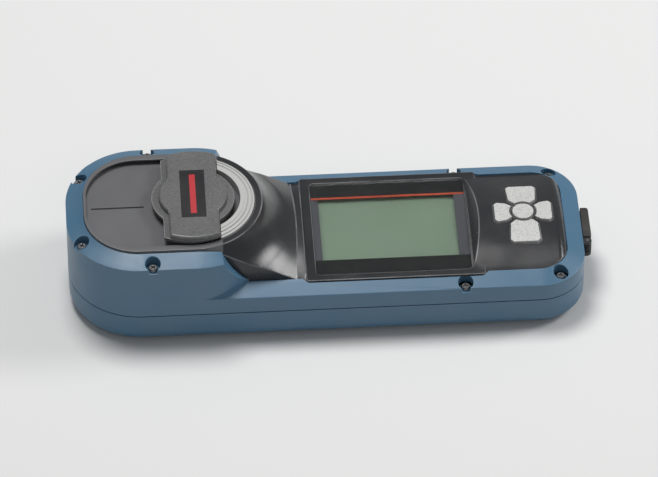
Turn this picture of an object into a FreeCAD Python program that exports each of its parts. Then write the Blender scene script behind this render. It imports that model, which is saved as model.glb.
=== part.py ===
"""Portable photometer: a hand-held instrument that measures the colour of a water sample in a vial.

It lies on its back. +X runs from the measuring head to the keypad, +Y to the far long side, +Z up
out of the display. The origin is under the middle of the whole instrument. Lengths in millimetres.
"""
import FreeCAD, Part
import Sketcher
import math
import os

os.makedirs("parts", exist_ok=True)
doc = FreeCAD.newDocument("Photometer")

# Driving dimensions, grouped by the piece that they set
SIZES = {
    # Housing
    "body_length": 262.5,
    "body_width": 88.0,
    "head_corner": 37.0,
    "tail_corner": 24.0,
    "foot_height": 1.0,
    "floor_wall": 3.0,
    "side_wall": 2.6,
    "belly_round": 7.0,
    "belly_hollow": 4.4,
    "seam_height": 19.0,
    "seam_gap": 0.6,
    "handle_rim_height": 33.0,
    "head_rim_height": 55.5,
    "rim_width": 8.8,
    "rim_drop": 3.5,
    "rim_lip": 2.2,
    "handle_ceiling": 27.5,
    "head_ceiling": 49.0,
    "well_from_head_end": 64.5,
    "shoulder_start": 12.7,
    "shoulder_run": 15.2,
    "shoulder_hollow": 42.0,
    # Fascia
    "fascia_gap": 0.2,
    "fascia_wall": 2.0,
    "fascia_seat": 31.5,
    "display_flare": 2.2,
    "crown_height": 39.0,
    "crown_radius": 92.0,
    "tail_round": 5.0,
    "flare_run": 15.0,
    "flare_bend_height": 40.5,
    "flare_spread": 27.0,
    "flare_foot_height": 32.0,
    "flare_hollow": 33.0,
    "rail_width": 3.8,
    "bay_end": 1.6,
    "bay_floor": 53.8,
    "bay_floor_wall": 2.2,
    "rail_top": 57.0,
    "rail_lip_under": 55.9,
    "rail_slot": 2.6,
    "guide_width": 1.2,
    "guide_depth": 0.6,
    # Display
    "display_from_well": 55.5,
    "display_to_keypad": 27.5,
    "display_slope": 5.5,
    "land_height": 33.2,
    "land_under": 30.6,
    "window_border": 6.4,
    "window_side_border": 4.4,
    "window_shift": 2.2,
    "window_thickness": 1.2,
    "window_corner": 2.0,
    "window_sunk": 0.2,
    "window_gap": 0.15,
    "window_ledge": 2.0,
    "mask_thickness": 0.3,
    "view_shift": 0.9,
    "view_border": 9.0,
    "view_side_border": 21.9,
    "lcd_margin": 2.0,
    "lcd_thickness": 1.8,
    "lcd_top": 29.4,
    "backlight_thickness": 1.4,
    "lcd_frame_wall": 2.4,
    "lcd_frame_top": 30.0,
    # Keypad
    "keypad_from_end": 30.0,
    "key_gap": 0.35,
    "key_proud": 1.1,
    "key_flange": 0.5,
    "key_flange_thickness": 0.9,
    "key_flange_gap": 0.12,
    "key_bottom": 31.2,
    "ok_radius": 5.4,
    "key_ring": 7.0,
    "long_key_reach": 20.0,
    "key_notch": 3.9,
    "long_key_inner": 6.9,
    "long_key_outer": 7.6,
    "long_key_waist": 8.4,
    "key_corner": 1.5,
    "side_key_reach": 14.6,
    "side_key_half": 6.8,
    "side_key_inner": 6.0,
    "side_key_shoulder": 8.8,
    "keypad_board_under": 27.0,
    "keypad_board_thickness": 1.2,
    "keypad_board_near": 22.0,
    "keypad_board_far": 17.0,
    "keypad_board_half": 24.0,
    "post_inset": 3.0,
    "post_radius": 2.0,
    "switch_size": 5.2,
    "switch_height": 1.6,
    "plunger_radius": 1.6,
    "plunger_height": 0.5,
    # Sample well and optics
    "well_bore": 12.6,
    "well_wall": 1.9,
    "well_clearance": 0.15,
    "well_base": 2.0,
    "well_lead": 0.8,
    "well_flange": 2.8,
    "well_flange_under": 49.2,
    "well_flange_thickness": 1.2,
    "well_seal_section": 0.6,
    "optic_height": 26.0,
    "optic_half": 22.0,
    "optic_cheek": 3.5,
    "optic_bottom": 10.0,
    "optic_top": 42.0,
    "light_channel": 2.6,
    "lens_radius": 2.5,
    "lens_thickness": 1.5,
    "optic_board_thickness": 1.6,
    "optic_board_half": 16.0,
    "ring_width": 7.4,
    "ring_groove": 0.6,
    "ring_groove_depth": 0.6,
    "ring_groove_pitch": 2.0,
    "ring_gap": 0.2,
    "ring_top": 59.0,
    "ring_edge_top": 57.6,
    "ring_land": 2.2,
    "ring_step_drop": 0.5,
    "ring_cut": 13.1,
    # Light shield
    "shield_bar_half": 12.7,
    "shield_overhang": 0.4,
    "shield_end_curve": 32.0,
    "shield_lower_step": 2.8,
    "shield_disc_gap": 6.6,
    "shield_corner": 2.0,
    "shield_under": 57.4,
    "bar_under": 59.2,
    "shield_top": 62.0,
    "shield_round": 1.3,
    "skirt_gap": 3.0,
    "skirt_short": 0.6,
    "runner_start": 0.0,
    "runner_end": 8.0,
    "runner_width": 5.4,
    "runner_clear": 1.5,
    "runner_toe": 2.6,
    "runner_under": 54.2,
    "runner_toe_top": 55.5,
    "seal_clear": 1.0,
    "seal_width": 2.4,
    "seal_under": 54.1,
    "label_length": 34.0,
    "label_width": 12.4,
    "label_depth": 0.6,
    "label_thickness": 0.5,
    "label_gap": 0.1,
    "stripe_width": 3.0,
    "stripe_inset": 3.0,
    "stripe_depth": 0.25,
    "detent_x": -9.0,
    "detent_y": 17.0,
    "detent_radius": 1.5,
    "detent_under": 53.9,
    "detent_tube": 2.6,
    # Battery bay
    "cell_radius": 7.1,
    "cell_length": 50.0,
    "cell_pitch": 15.4,
    "cell_gap": 0.2,
    "cell_height": 12.2,
    "battery_shift": 2.0,
    "tray_wall": 1.5,
    "tray_top": 20.6,
    "contact_room": 2.4,
    "door_length": 76.0,
    "door_width": 66.0,
    "door_thickness": 1.6,
    "door_corner": 5.0,
    "door_gap": 0.3,
    "door_opening_length": 58.0,
    "door_opening_width": 58.0,
    "door_pad": 1.0,
    "door_pad_margin": 5.0,
    "door_screw_inset": 4.2,
    "door_boss": 3.2,
    "leaf_width": 6.0,
    "leaf_thickness": 0.4,
    "plate_half": 4.0,
    # Boards
    "board_thickness": 1.6,
    "board_overlap": 8.5,
    "board_corner": 16.0,
    "board_end_gap": 7.6,
    "board_side_gap": 9.0,
    # Socket and its cover
    "port_width": 9.2,
    "port_tall": 3.6,
    "port_depth": 7.4,
    "port_gap": 0.4,
    "cover_out": 4.5,
    "cover_gap": 0.3,
    "cover_near": 10.0,
    "cover_far": 11.0,
    "cover_bottom": 20.6,
    "cover_top": 29.6,
    "plug_depth": 1.4,
    "hinge_y": 12.6,
    "hinge_x": 2.3,
    "hinge_radius": 2.0,
    "knuckle_bottom": 22.9,
    "knuckle_top": 27.3,
    "ear_gap": 0.3,
    "pin_radius": 0.8,
    "pin_gap": 0.05,
    "pin_overrun": 0.6,
    "socket_wall": 0.4,
    # Screws and feet
    "shaft_radius": 1.2,
    "pilot_radius": 1.25,
    "clearance_radius": 1.5,
    "screw_head": 2.4,
    "screw_head_height": 1.8,
    "scallop_radius": 3.9,
    "boss_radius": 3.3,
    "boss_start": 9.0,
    "screw_inset": 3.4,
    "screw_end": 10.5,
    "slot_half": 0.3,
    "slot_reach": 1.5,
    "slot_depth": 0.8,
    "head_screw_x": 42.6,
    "end_screw_x": 7.4,
    "end_screw_y": 23.0,
    "waist_screw_x": 4.7,
    "tail_screw_x": 13.6,
    "tail_screw_inset": 7.6,
    "foot_radius": 6.0,
    "foot_inset": 1.2,
    "foot_from_head_end": 27.0,
    "foot_from_tail_end": 20.0,
    "head_foot_y": 22.0,
    "tail_foot_y": 26.0,
}

sheet = doc.addObject("Spreadsheet::Sheet", "Sizes")
for row, (alias, number) in enumerate(SIZES.items(), start=1):
    sheet.set(f"A{row}", str(number))
    sheet.setAlias(f"A{row}", alias)
doc.recompute()


class Size(float):
    """A number of millimetres that remembers its formula, so that it can be tied to the sheet."""

    def __new__(cls, number, formula=None):
        made = super().__new__(cls, number)
        made.formula = formula or f"{float(number):.9g}"
        return made

    @staticmethod
    def wrap(other):
        return other if isinstance(other, Size) else Size(other)

    def combine(self, other, sign, number):
        return Size(number, f"({self.formula} {sign} {Size.wrap(other).formula})")

    def __add__(self, other):
        return self.combine(other, "+", float(self) + float(other))

    def __sub__(self, other):
        return self.combine(other, "-", float(self) - float(other))

    def __mul__(self, other):
        return self.combine(other, "*", float(self) * float(other))

    def __truediv__(self, other):
        return self.combine(other, "/", float(self) / float(other))

    def __radd__(self, other):
        return Size.wrap(other) + self

    def __rsub__(self, other):
        return Size.wrap(other) - self

    def __rmul__(self, other):
        return Size.wrap(other) * self

    def __neg__(self):
        return Size(-float(self), f"(-1 * {self.formula})")


class Sheet:
    """Reads each driving dimension as a Size tied to its cell."""

    def __getattr__(self, alias):
        return Size(SIZES[alias], f"Sizes.{alias}")


S = Sheet()


def root(size):
    return Size(math.sqrt(float(size)), f"sqrt({size.formula})")


# Places that follow from the driving dimensions
left_x = -(S.body_length + S.cover_out) / 2
right_x = left_x + S.body_length
half_width = S.body_width / 2
well_x = left_x + S.well_from_head_end
fascia_half = half_width - S.rim_width
bay_half = fascia_half - S.rail_width
flare_top = fascia_half - S.fascia_gap
keypad_x = right_x - S.keypad_from_end
display_start = well_x + S.display_from_well
display_end = keypad_x - S.display_to_keypad
window_x = (display_start + display_end) / 2 + S.window_shift
window_length = display_end - display_start - S.window_border
window_width = fascia_half * 2 - S.window_side_border
cavity_floor = S.foot_height + S.floor_wall
top_start = S.seam_height + S.seam_gap
bay_ceiling = S.bay_floor - S.bay_floor_wall
board_top = S.tray_top + S.board_thickness
view_x = window_x - S.view_shift
view_length = window_length - S.view_border
view_width = window_width - S.view_side_border
window_seat = S.land_height - S.window_sunk - S.window_thickness - S.mask_thickness
ring_inner = bay_half - S.ring_width
skirt_radius = ring_inner - S.skirt_gap
disc_radius = ring_inner - S.shield_disc_gap
seal_inner = S.well_bore + S.seal_clear
runner_neck = bay_half - S.runner_clear
battery_x = (display_start + display_end) / 2 + S.battery_shift
board_start = display_start - S.board_overlap
port_z = board_top + S.port_tall / 2 + 0.2
hinge_x = right_x + S.hinge_x
HIGH = S.shield_top + 10

# Spots of what repeats: (x, y), or for the case screws (x, y, height of the seat)
screw_line = half_width - S.screw_inset
head_seat = S.head_rim_height - S.rim_drop - S.screw_head_height - 1
handle_seat = S.handle_rim_height - S.rim_drop - S.screw_head_height - 1
screw_rows = [
    (left_x + S.head_screw_x, screw_line, head_seat),
    (display_end - S.waist_screw_x, screw_line, handle_seat),
    (right_x - S.tail_screw_x, half_width - S.tail_screw_inset, handle_seat + 0.4),
    (left_x + S.end_screw_x, S.end_screw_y, head_seat),
]
screw_spots = [(x, side * y, seat) for x, y, seat in screw_rows for side in (-1, 1)]
door_screws = [(battery_x + side * (S.door_length / 2 - S.door_screw_inset), Size(0)) for side in (-1, 1)]
foot_spots = [(x, side * y) for x, y in [(left_x + S.foot_from_head_end, S.head_foot_y),
                                         (right_x - S.foot_from_tail_end, S.tail_foot_y)]
              for side in (-1, 1)]
runner_x = well_x + (S.runner_start + S.runner_end) / 2
shield_screw_spots = [(runner_x, side * (runner_neck - S.runner_width / 2)) for side in (-1, 1)]
key_centres = [(0, 14.2), (0, -14.2), (11.0, 0), (-11.0, 0), (0, 0)]
PLANE_ROLES = {"XY": "XY_Plane", "XZ": "XZ_Plane", "YZ": "YZ_Plane"}
NODES = []


def bind(thing, **sizes):
    """Ties properties of an object to the sheet."""
    for path, size in sizes.items():
        thing.setExpression(path, Size.wrap(size).formula)


def place(thing, x=0, y=0, z=0):
    """Ties an object's position to the sheet."""
    for letter, size in (("x", x), ("y", y), ("z", z)):
        thing.setExpression(f"Placement.Base.{letter}", Size.wrap(size).formula)
    return thing


# Sketches
def tie(sketch, constraint, size):
    """Adds a constraint whose value comes from the sheet."""
    number = sketch.addConstraint(constraint)
    sketch.setExpression(f"Constraints[{number}]", Size.wrap(size).formula)


def draw_side(sketch, corner, after):
    """Adds one side of an outline, straight or an arc."""
    start = FreeCAD.Vector(float(corner[0]), float(corner[1]), 0)
    end = FreeCAD.Vector(float(after[0]), float(after[1]), 0)
    if len(corner) == 2:
        sketch.addGeometry(Part.LineSegment(start, end), False)
        return
    radius = abs(float(corner[2]))
    chord = end - start
    rise = radius - math.sqrt(max(radius ** 2 - chord.Length ** 2 / 4, 0))
    side = FreeCAD.Vector(chord.y, -chord.x, 0).normalize()
    if float(corner[2]) < 0:
        side = side * -1
    sketch.addGeometry(Part.Arc(start, (start + end) * 0.5 + side * rise, end), False)


def draw(sketch, path):
    """Draws a closed outline with every corner tied to the sheet.

    path lists (x, y) corners. A third value makes the side that starts there an arc of that
    radius: positive arcs turn left on the way to the next corner, negative ones turn right.
    """
    first = sketch.GeometryCount
    count = len(path)
    for index, corner in enumerate(path):
        draw_side(sketch, corner, path[(index + 1) % count])
    for index, corner in enumerate(path):
        begin, finish = (2, 1) if len(corner) == 3 and float(corner[2]) < 0 else (1, 2)
        after = path[(index + 1) % count]
        next_begin = 2 if len(after) == 3 and float(after[2]) < 0 else 1
        here, following = first + index, first + (index + 1) % count
        sketch.addConstraint(Sketcher.Constraint("Coincident", here, finish, following, next_begin))
        tie(sketch, Sketcher.Constraint("DistanceX", here, begin, float(corner[0])), corner[0])
        tie(sketch, Sketcher.Constraint("DistanceY", here, begin, float(corner[1])), corner[1])
        if len(corner) == 3:
            radius = corner[2] if begin == 1 else -Size.wrap(corner[2])
            tie(sketch, Sketcher.Constraint("Radius", here, abs(float(corner[2]))), radius)


def draw_circle(sketch, x, y, radius):
    """Adds a circle tied to the sheet."""
    centre = FreeCAD.Vector(float(x), float(y), 0)
    number = sketch.addGeometry(Part.Circle(centre, FreeCAD.Vector(0, 0, 1), float(radius)), False)
    tie(sketch, Sketcher.Constraint("Radius", number, float(radius)), radius)
    tie(sketch, Sketcher.Constraint("DistanceX", number, 3, float(x)), x)
    tie(sketch, Sketcher.Constraint("DistanceY", number, 3, float(y)), y)


def new_sketch(body, plane, offset, paths, circles, shift=0):
    """A sketch on one of a body's own planes, moved along the normal and sideways."""
    sketch = body.newObject("Sketcher::SketchObject", body.Name + "Sketch")
    own_plane = [f for f in body.Origin.OriginFeatures if f.Role == PLANE_ROLES[plane]][0]
    sketch.AttachmentSupport = [(own_plane, "")]
    sketch.MapMode = "FlatFace"
    sketch.setExpression("AttachmentOffset.Base.z", Size.wrap(offset).formula)
    sketch.setExpression("AttachmentOffset.Base.x", Size.wrap(shift).formula)
    for path in paths:
        draw(sketch, path)
    for circle in circles:
        draw_circle(sketch, *circle)
    return sketch


# Features
def new_body(label):
    body = doc.addObject("PartDesign::Body", "".join(word.title() for word in label.split("_")))
    body.Label = label
    return body


def extruded(kind, body, plane, offset, length, paths, circles, both, reverse):
    made_sketch = new_sketch(body, plane, offset, paths, circles)
    made = body.newObject(f"PartDesign::{kind}", body.Name + kind)
    made.Profile = made_sketch
    bind(made, Length=length)
    made.Midplane = both
    made.Reversed = reverse
    return made


def pad(body, offset, top, *paths, circles=(), plane="XY"):
    """Adds an extruded outline from one height to another."""
    return extruded("Pad", body, plane, offset, Size.wrap(top) - offset, paths, circles, False, False)


def pocket(body, offset, top, *paths, circles=(), plane="XY"):
    """Cuts an extruded outline from one height up to another."""
    return extruded("Pocket", body, plane, offset, Size.wrap(top) - offset, paths, circles, False, True)


def pad_across(body, width, *paths, plane="XZ", circles=()):
    """Adds an outline drawn from the side, extruded equally both ways."""
    return extruded("Pad", body, plane, 0, width, paths, circles, True, False)


def pocket_across(body, width, *paths, plane="XZ", circles=()):
    """Cuts an outline drawn from the side, extruded equally both ways."""
    return extruded("Pocket", body, plane, 0, width, paths, circles, True, False)


def turn(body, path, centre=0, kind="Revolution"):
    """Revolves an outline of (radius, height) corners about an upright axis on the centre line."""
    sketch = new_sketch(body, "XZ", 0, [path], (), shift=centre)
    made = body.newObject(f"PartDesign::{kind}", body.Name + kind)
    made.Profile = sketch
    made.ReferenceAxis = (sketch, ["V_Axis"])
    made.Angle = 360
    return made


def edges_where(shape, test):
    """Names of the edges whose ends and middle all pass a test."""
    names = []
    for number, edge in enumerate(shape.Edges, start=1):
        middle = edge.valueAt((edge.FirstParameter + edge.LastParameter) / 2)
        points = [vertex.Point for vertex in edge.Vertexes] + [middle]
        if all(test(point) for point in points):
            names.append(f"Edge{number}")
    return names


def soften(body, test, kind="Fillet", **sizes):
    """Rounds or chamfers the edges of a body's last feature that pass a test."""
    doc.recompute()
    last = body.Tip
    made = body.newObject(f"PartDesign::{kind}", body.Name + kind)
    made.Base = (last, edges_where(last.Shape, test))
    if "Size2" in sizes:
        made.ChamferType = "Two distances"
    bind(made, **sizes)
    return made


def near(value, target, slack=0.001):
    return abs(value - float(target)) < slack


# Whole objects and their combinations
def block(name, x0, y0, z0, x1, y1, z1):
    made = doc.addObject("Part::Box", name)
    bind(made, Length=Size.wrap(x1) - x0, Width=Size.wrap(y1) - y0, Height=Size.wrap(z1) - z0)
    return place(made, x0, y0, z0)


def rod(name, radius, length, x=0, y=0, z=0, along="Z"):
    """A cylinder that starts at a point and runs along an axis."""
    made = doc.addObject("Part::Cylinder", name)
    bind(made, Radius=radius, Height=length)
    axis, angle = {"Z": ((0, 0, 1), 0), "X": ((0, 1, 0), 90), "Y": ((1, 0, 0), -90)}[along]
    made.Placement = FreeCAD.Placement(
        FreeCAD.Vector(), FreeCAD.Rotation(FreeCAD.Vector(*axis), angle))
    return place(made, x, y, z)


def join(name, *shapes):
    made = doc.addObject("Part::MultiFuse", name)
    made.Shapes = list(shapes)
    return made


def overlap(name, *shapes):
    made = doc.addObject("Part::MultiCommon", name)
    made.Shapes = list(shapes)
    return made


def less(name, base, *tools):
    """A base with one or more tools cut out of it."""
    tool = tools[0] if len(tools) == 1 else join(name + "Tools", *tools)
    made = doc.addObject("Part::Cut", name)
    made.Base = base
    made.Tool = tool
    return made


def keep(thing, label=None):
    """Marks a finished piece to be written out."""
    if label:
        thing.Label = label
    NODES.append(thing)
    return thing


def group(label, shapes):
    """Identical pieces that share one node as separate solids."""
    made = doc.addObject("Part::Compound", "".join(word.title() for word in label.split("_")))
    made.Links = list(shapes)
    return keep(made, label)


# Outlines that more than one piece uses
def rectangle(x0, y0, x1, y1):
    return [(x0, y0), (x1, y0), (x1, y1), (x0, y1)]


def rounded(x0, y0, x1, y1, left, right=None):
    """A rectangle with round corners, the left pair of one radius and the right pair of another."""
    right = left if right is None else right
    return [
        (x0 + left, y0), (x1 - right, y0, right), (x1, y0 + right), (x1, y1 - right, right),
        (x1 - right, y1), (x0 + left, y1, left), (x0, y1 - left), (x0, y0 + left, left),
    ]


def body_outline(inset):
    """The housing's outline seen from above, moved in by an inset."""
    return rounded(left_x + inset, -(half_width - inset), right_x - inset, half_width - inset,
                   S.head_corner - inset, S.tail_corner - inset)


def head_outline(inset):
    """The measuring head's outline: round left corners and a half circle about the well."""
    reach = half_width - inset
    corner = S.head_corner - inset
    end_x = left_x + inset
    return [
        (end_x + corner, -reach), (well_x, -reach, reach), (well_x + reach, Size(0), reach),
        (well_x, reach), (end_x + corner, reach, corner), (end_x, reach - corner),
        (end_x, corner - reach, corner),
    ]


def bay_outline():
    """The bay's outline: straight sides, a half circle about the well and a drawn-out far end."""
    corner = S.head_corner - S.rim_width - S.rail_width
    start, end_x = left_x + S.head_corner, left_x + S.rim_width + S.bay_end
    turn_y = bay_half - corner
    sweep = (corner + start - end_x) / 2
    return [
        (start, -bay_half), (well_x, -bay_half, bay_half), (well_x + bay_half, Size(0), bay_half),
        (well_x, bay_half), (start, bay_half, sweep), (end_x, turn_y), (end_x, -turn_y, sweep),
    ]


def fascia_outline(inset):
    """The grey fascia's outline, wider alongside the display."""
    narrow = fascia_half - inset
    wide = narrow + S.display_flare
    start, end = display_start, display_end + S.display_slope
    x0, x1 = left_x + S.rim_width + inset, right_x - S.rim_width - inset
    left, right = S.head_corner - S.rim_width - inset, S.tail_corner - S.rim_width - inset
    lower = [(x0 + left, -narrow), (start - 2, -narrow), (start + 1, -wide), (end - 1, -wide),
             (end + 2, -narrow), (x1 - right, -narrow, right), (x1, right - narrow)]
    upper = [(x1, narrow - right, right), (x1 - right, narrow), (end + 2, narrow), (end - 1, wide),
             (start + 1, wide), (start - 2, narrow), (x0 + left, narrow, left), (x0, narrow - left),
             (x0, left - narrow, left)]
    return lower + upper


def screw(name, x, y, seat, end):
    """A pan-head screw with a cross recess, standing on its seat and reaching down to its end."""
    top = seat + S.screw_head_height
    head = rod(name + "Head", S.screw_head, S.screw_head_height, x, y, seat)
    shaft = rod(name + "Shaft", S.shaft_radius, seat - end, x, y, end)
    long, short = S.slot_reach, S.slot_half
    slots = [block(f"{name}Slot{n}", x - a, y - b, top - S.slot_depth, x + a, y + b, top + 1)
             for n, (a, b) in enumerate([(long, short), (short, long)])]
    return less(name, join(name + "Whole", head, shaft), *slots)


# Housing
def make_bottom_housing():
    """The lower tub, with screw bosses, a battery door opening and a rounded belly."""
    body = new_body("bottom_housing")
    pad(body, S.foot_height, S.seam_height, body_outline(Size(0)))
    soften(body, lambda p: near(p.z, S.foot_height), Radius=S.belly_round)
    pocket(body, cavity_floor, S.seam_height, body_outline(S.side_wall))
    soften(body, lambda p: near(p.z, cavity_floor), Radius=S.belly_hollow)
    bosses = [(x, y, S.boss_radius) for x, y, seat in screw_spots]
    pad(body, S.boss_start, S.seam_height, circles=bosses)
    pilots = [(x, y, S.pilot_radius) for x, y, seat in screw_spots]
    pocket(body, S.screw_end - 0.5, S.seam_height, circles=pilots)
    x, y = S.door_length / 2, S.door_width / 2
    pocket(body, S.foot_height, S.foot_height + S.door_thickness + 0.1,
           rounded(battery_x - x, -y, battery_x + x, y, S.door_corner))
    x, y = S.door_opening_length / 2, S.door_opening_width / 2
    pocket(body, S.foot_height, cavity_floor, rectangle(battery_x - x, -y, battery_x + x, y))
    pad(body, cavity_floor, cavity_floor + 3, circles=[(x, y, S.door_boss) for x, y in door_screws])
    pocket(body, S.foot_height, cavity_floor + 2.2,
           circles=[(x, y, S.pilot_radius) for x, y in door_screws])
    pocket(body, S.foot_height, S.foot_height + S.foot_inset,
           circles=[(x, y, S.foot_radius + 0.05) for x, y in foot_spots])
    return keep(body)


def make_top_housing():
    """The upper shell: handle and head in one, a sloped rim all round and a hollow shoulder."""
    handle = new_body("handle_form")
    pad(handle, top_start, S.handle_rim_height, body_outline(Size(0)))
    soften(handle, lambda p: near(p.z, S.handle_rim_height), kind="Chamfer",
           Size=S.rim_drop, Size2=S.rim_width)
    head = new_body("head_form")
    pad(head, top_start, S.head_rim_height, head_outline(Size(0)))
    soften(head, lambda p: near(p.z, S.head_rim_height), kind="Chamfer",
           Size=S.rim_drop, Size2=S.rim_width)
    start = well_x + S.shoulder_start
    foot = start + S.shoulder_run
    floor = S.handle_rim_height - S.rim_drop
    pocket_across(head, S.body_width + 2, [
        (start, S.head_rim_height, S.shoulder_hollow), (foot, S.handle_rim_height),
        (foot + 3, floor), (right_x, floor), (right_x, HIGH), (start, HIGH),
    ])
    shell = join("ShellForm", handle, head)
    edge = start - 4
    rooms = new_body("rooms_form")
    pad(rooms, top_start - 1, S.handle_ceiling, body_outline(S.side_wall))
    pad(rooms, S.handle_ceiling - 1, S.head_ceiling, rounded(
        left_x + S.side_wall, -(half_width - S.side_wall), edge, half_width - S.side_wall,
        S.head_corner - S.side_wall, Size(3)))
    opening = new_body("opening_form")
    pad(opening, top_start - 1, HIGH, fascia_outline(S.rim_lip))
    recess = new_body("recess_form")
    pad(recess, S.fascia_seat, HIGH, fascia_outline(Size(0)))
    bosses = [rod(f"TopBoss{n}", S.boss_radius, seat + 0.2 - top_start, x, y, top_start)
              for n, (x, y, seat) in enumerate(screw_spots)]
    scallops = [rod(f"Scallop{n}", S.scallop_radius, HIGH - seat, x, y, seat)
                for n, (x, y, seat) in enumerate(screw_spots)]
    holes = [rod(f"ScrewHole{n}", S.clearance_radius, HIGH, x, y, top_start - 1)
             for n, (x, y, seat) in enumerate(screw_spots)]
    hollow = less("HollowShell", shell, rooms, opening, recess)
    filled = join("FilledShell", hollow, *bosses)
    y, z = S.port_width / 2 + S.port_gap, S.port_tall / 2 + S.port_gap
    socket_hole = block("SocketHole", right_x - S.side_wall - 1, -y, port_z - z,
                        right_x + 1, y, port_z + z)
    return keep(less("TopHousing", filled, *scallops, *holes, socket_hole), "top_housing")


def make_cover_ears():
    """Two ears on the end wall that carry the socket cover's pin."""
    ears = []
    pin_hole = rod("PinHole", S.pin_radius, HIGH, hinge_x, -S.hinge_y, 0)
    for n, (low, high) in enumerate([
            (S.cover_bottom - S.pin_overrun, S.knuckle_bottom - S.ear_gap),
            (S.knuckle_top + S.ear_gap, S.cover_top - 0.2)]):
        knob = rod(f"Ear{n}", S.hinge_radius, high - low, hinge_x, -S.hinge_y, low)
        base = block(f"EarRoot{n}", right_x, -S.hinge_y - S.hinge_radius, low,
                     hinge_x, -S.hinge_y + S.hinge_radius, high)
        ears.append(less(f"EarWhole{n}", join(f"EarForm{n}", knob, base), pin_hole))
    group("cover_ears", ears)


def make_housing_gasket():
    """The soft strip between the two halves, a little inside the wall."""
    outer, inner = new_body("gasket_outer"), new_body("gasket_inner")
    pad(outer, S.seam_height, top_start, body_outline(Size(0.5)))
    pad(inner, S.seam_height, top_start, body_outline(S.side_wall))
    holes = [rod(f"GasketHole{n}", S.clearance_radius, 4, x, y, S.seam_height - 1)
             for n, (x, y, seat) in enumerate(screw_spots)]
    return keep(less("HousingGasket", outer, inner, *holes), "housing_gasket")


def make_case_screws():
    screws = [screw(f"CaseScrew{n}", x, y, seat, S.screw_end)
              for n, (x, y, seat) in enumerate(screw_spots)]
    return group("case_screws", screws)


# Fascia
def barrel(name, inset, start, end, base):
    """The handle's domed form: a wide arc across, with its far end rounded off."""
    body = new_body(name)
    top, radius = S.crown_height - inset, S.crown_radius - inset
    half = half_width - 3
    drop = radius - root(radius * radius - half * half)
    made = extruded("Pad", body, "YZ", start, end - start, [[
        (-half, base), (half, base), (half, top - drop, radius), (-half, top - drop)]], (), False, False)
    soften(body, lambda p: near(p.x, end) and p.z > float(top - drop) - 0.01,
           Radius=S.tail_round - inset * 0.5)
    return body


def flare(name, inset, base):
    """The waist's hollow cone about the well, spreading down on to the handle."""
    body = new_body(name)
    foot = flare_top + S.flare_spread - inset * 0.6
    turn(body, [
        (Size(0), base), (foot, base), (foot, S.flare_foot_height - inset * 0.8),
        (flare_top + S.flare_run - inset * 0.43, S.flare_bend_height - inset * 0.9,
         -(S.flare_hollow + inset)),
        (flare_top - inset * 0.92, S.rail_top - inset * 0.4), (Size(0), S.rail_top - inset * 0.4),
    ], centre=well_x)
    return body


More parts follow.
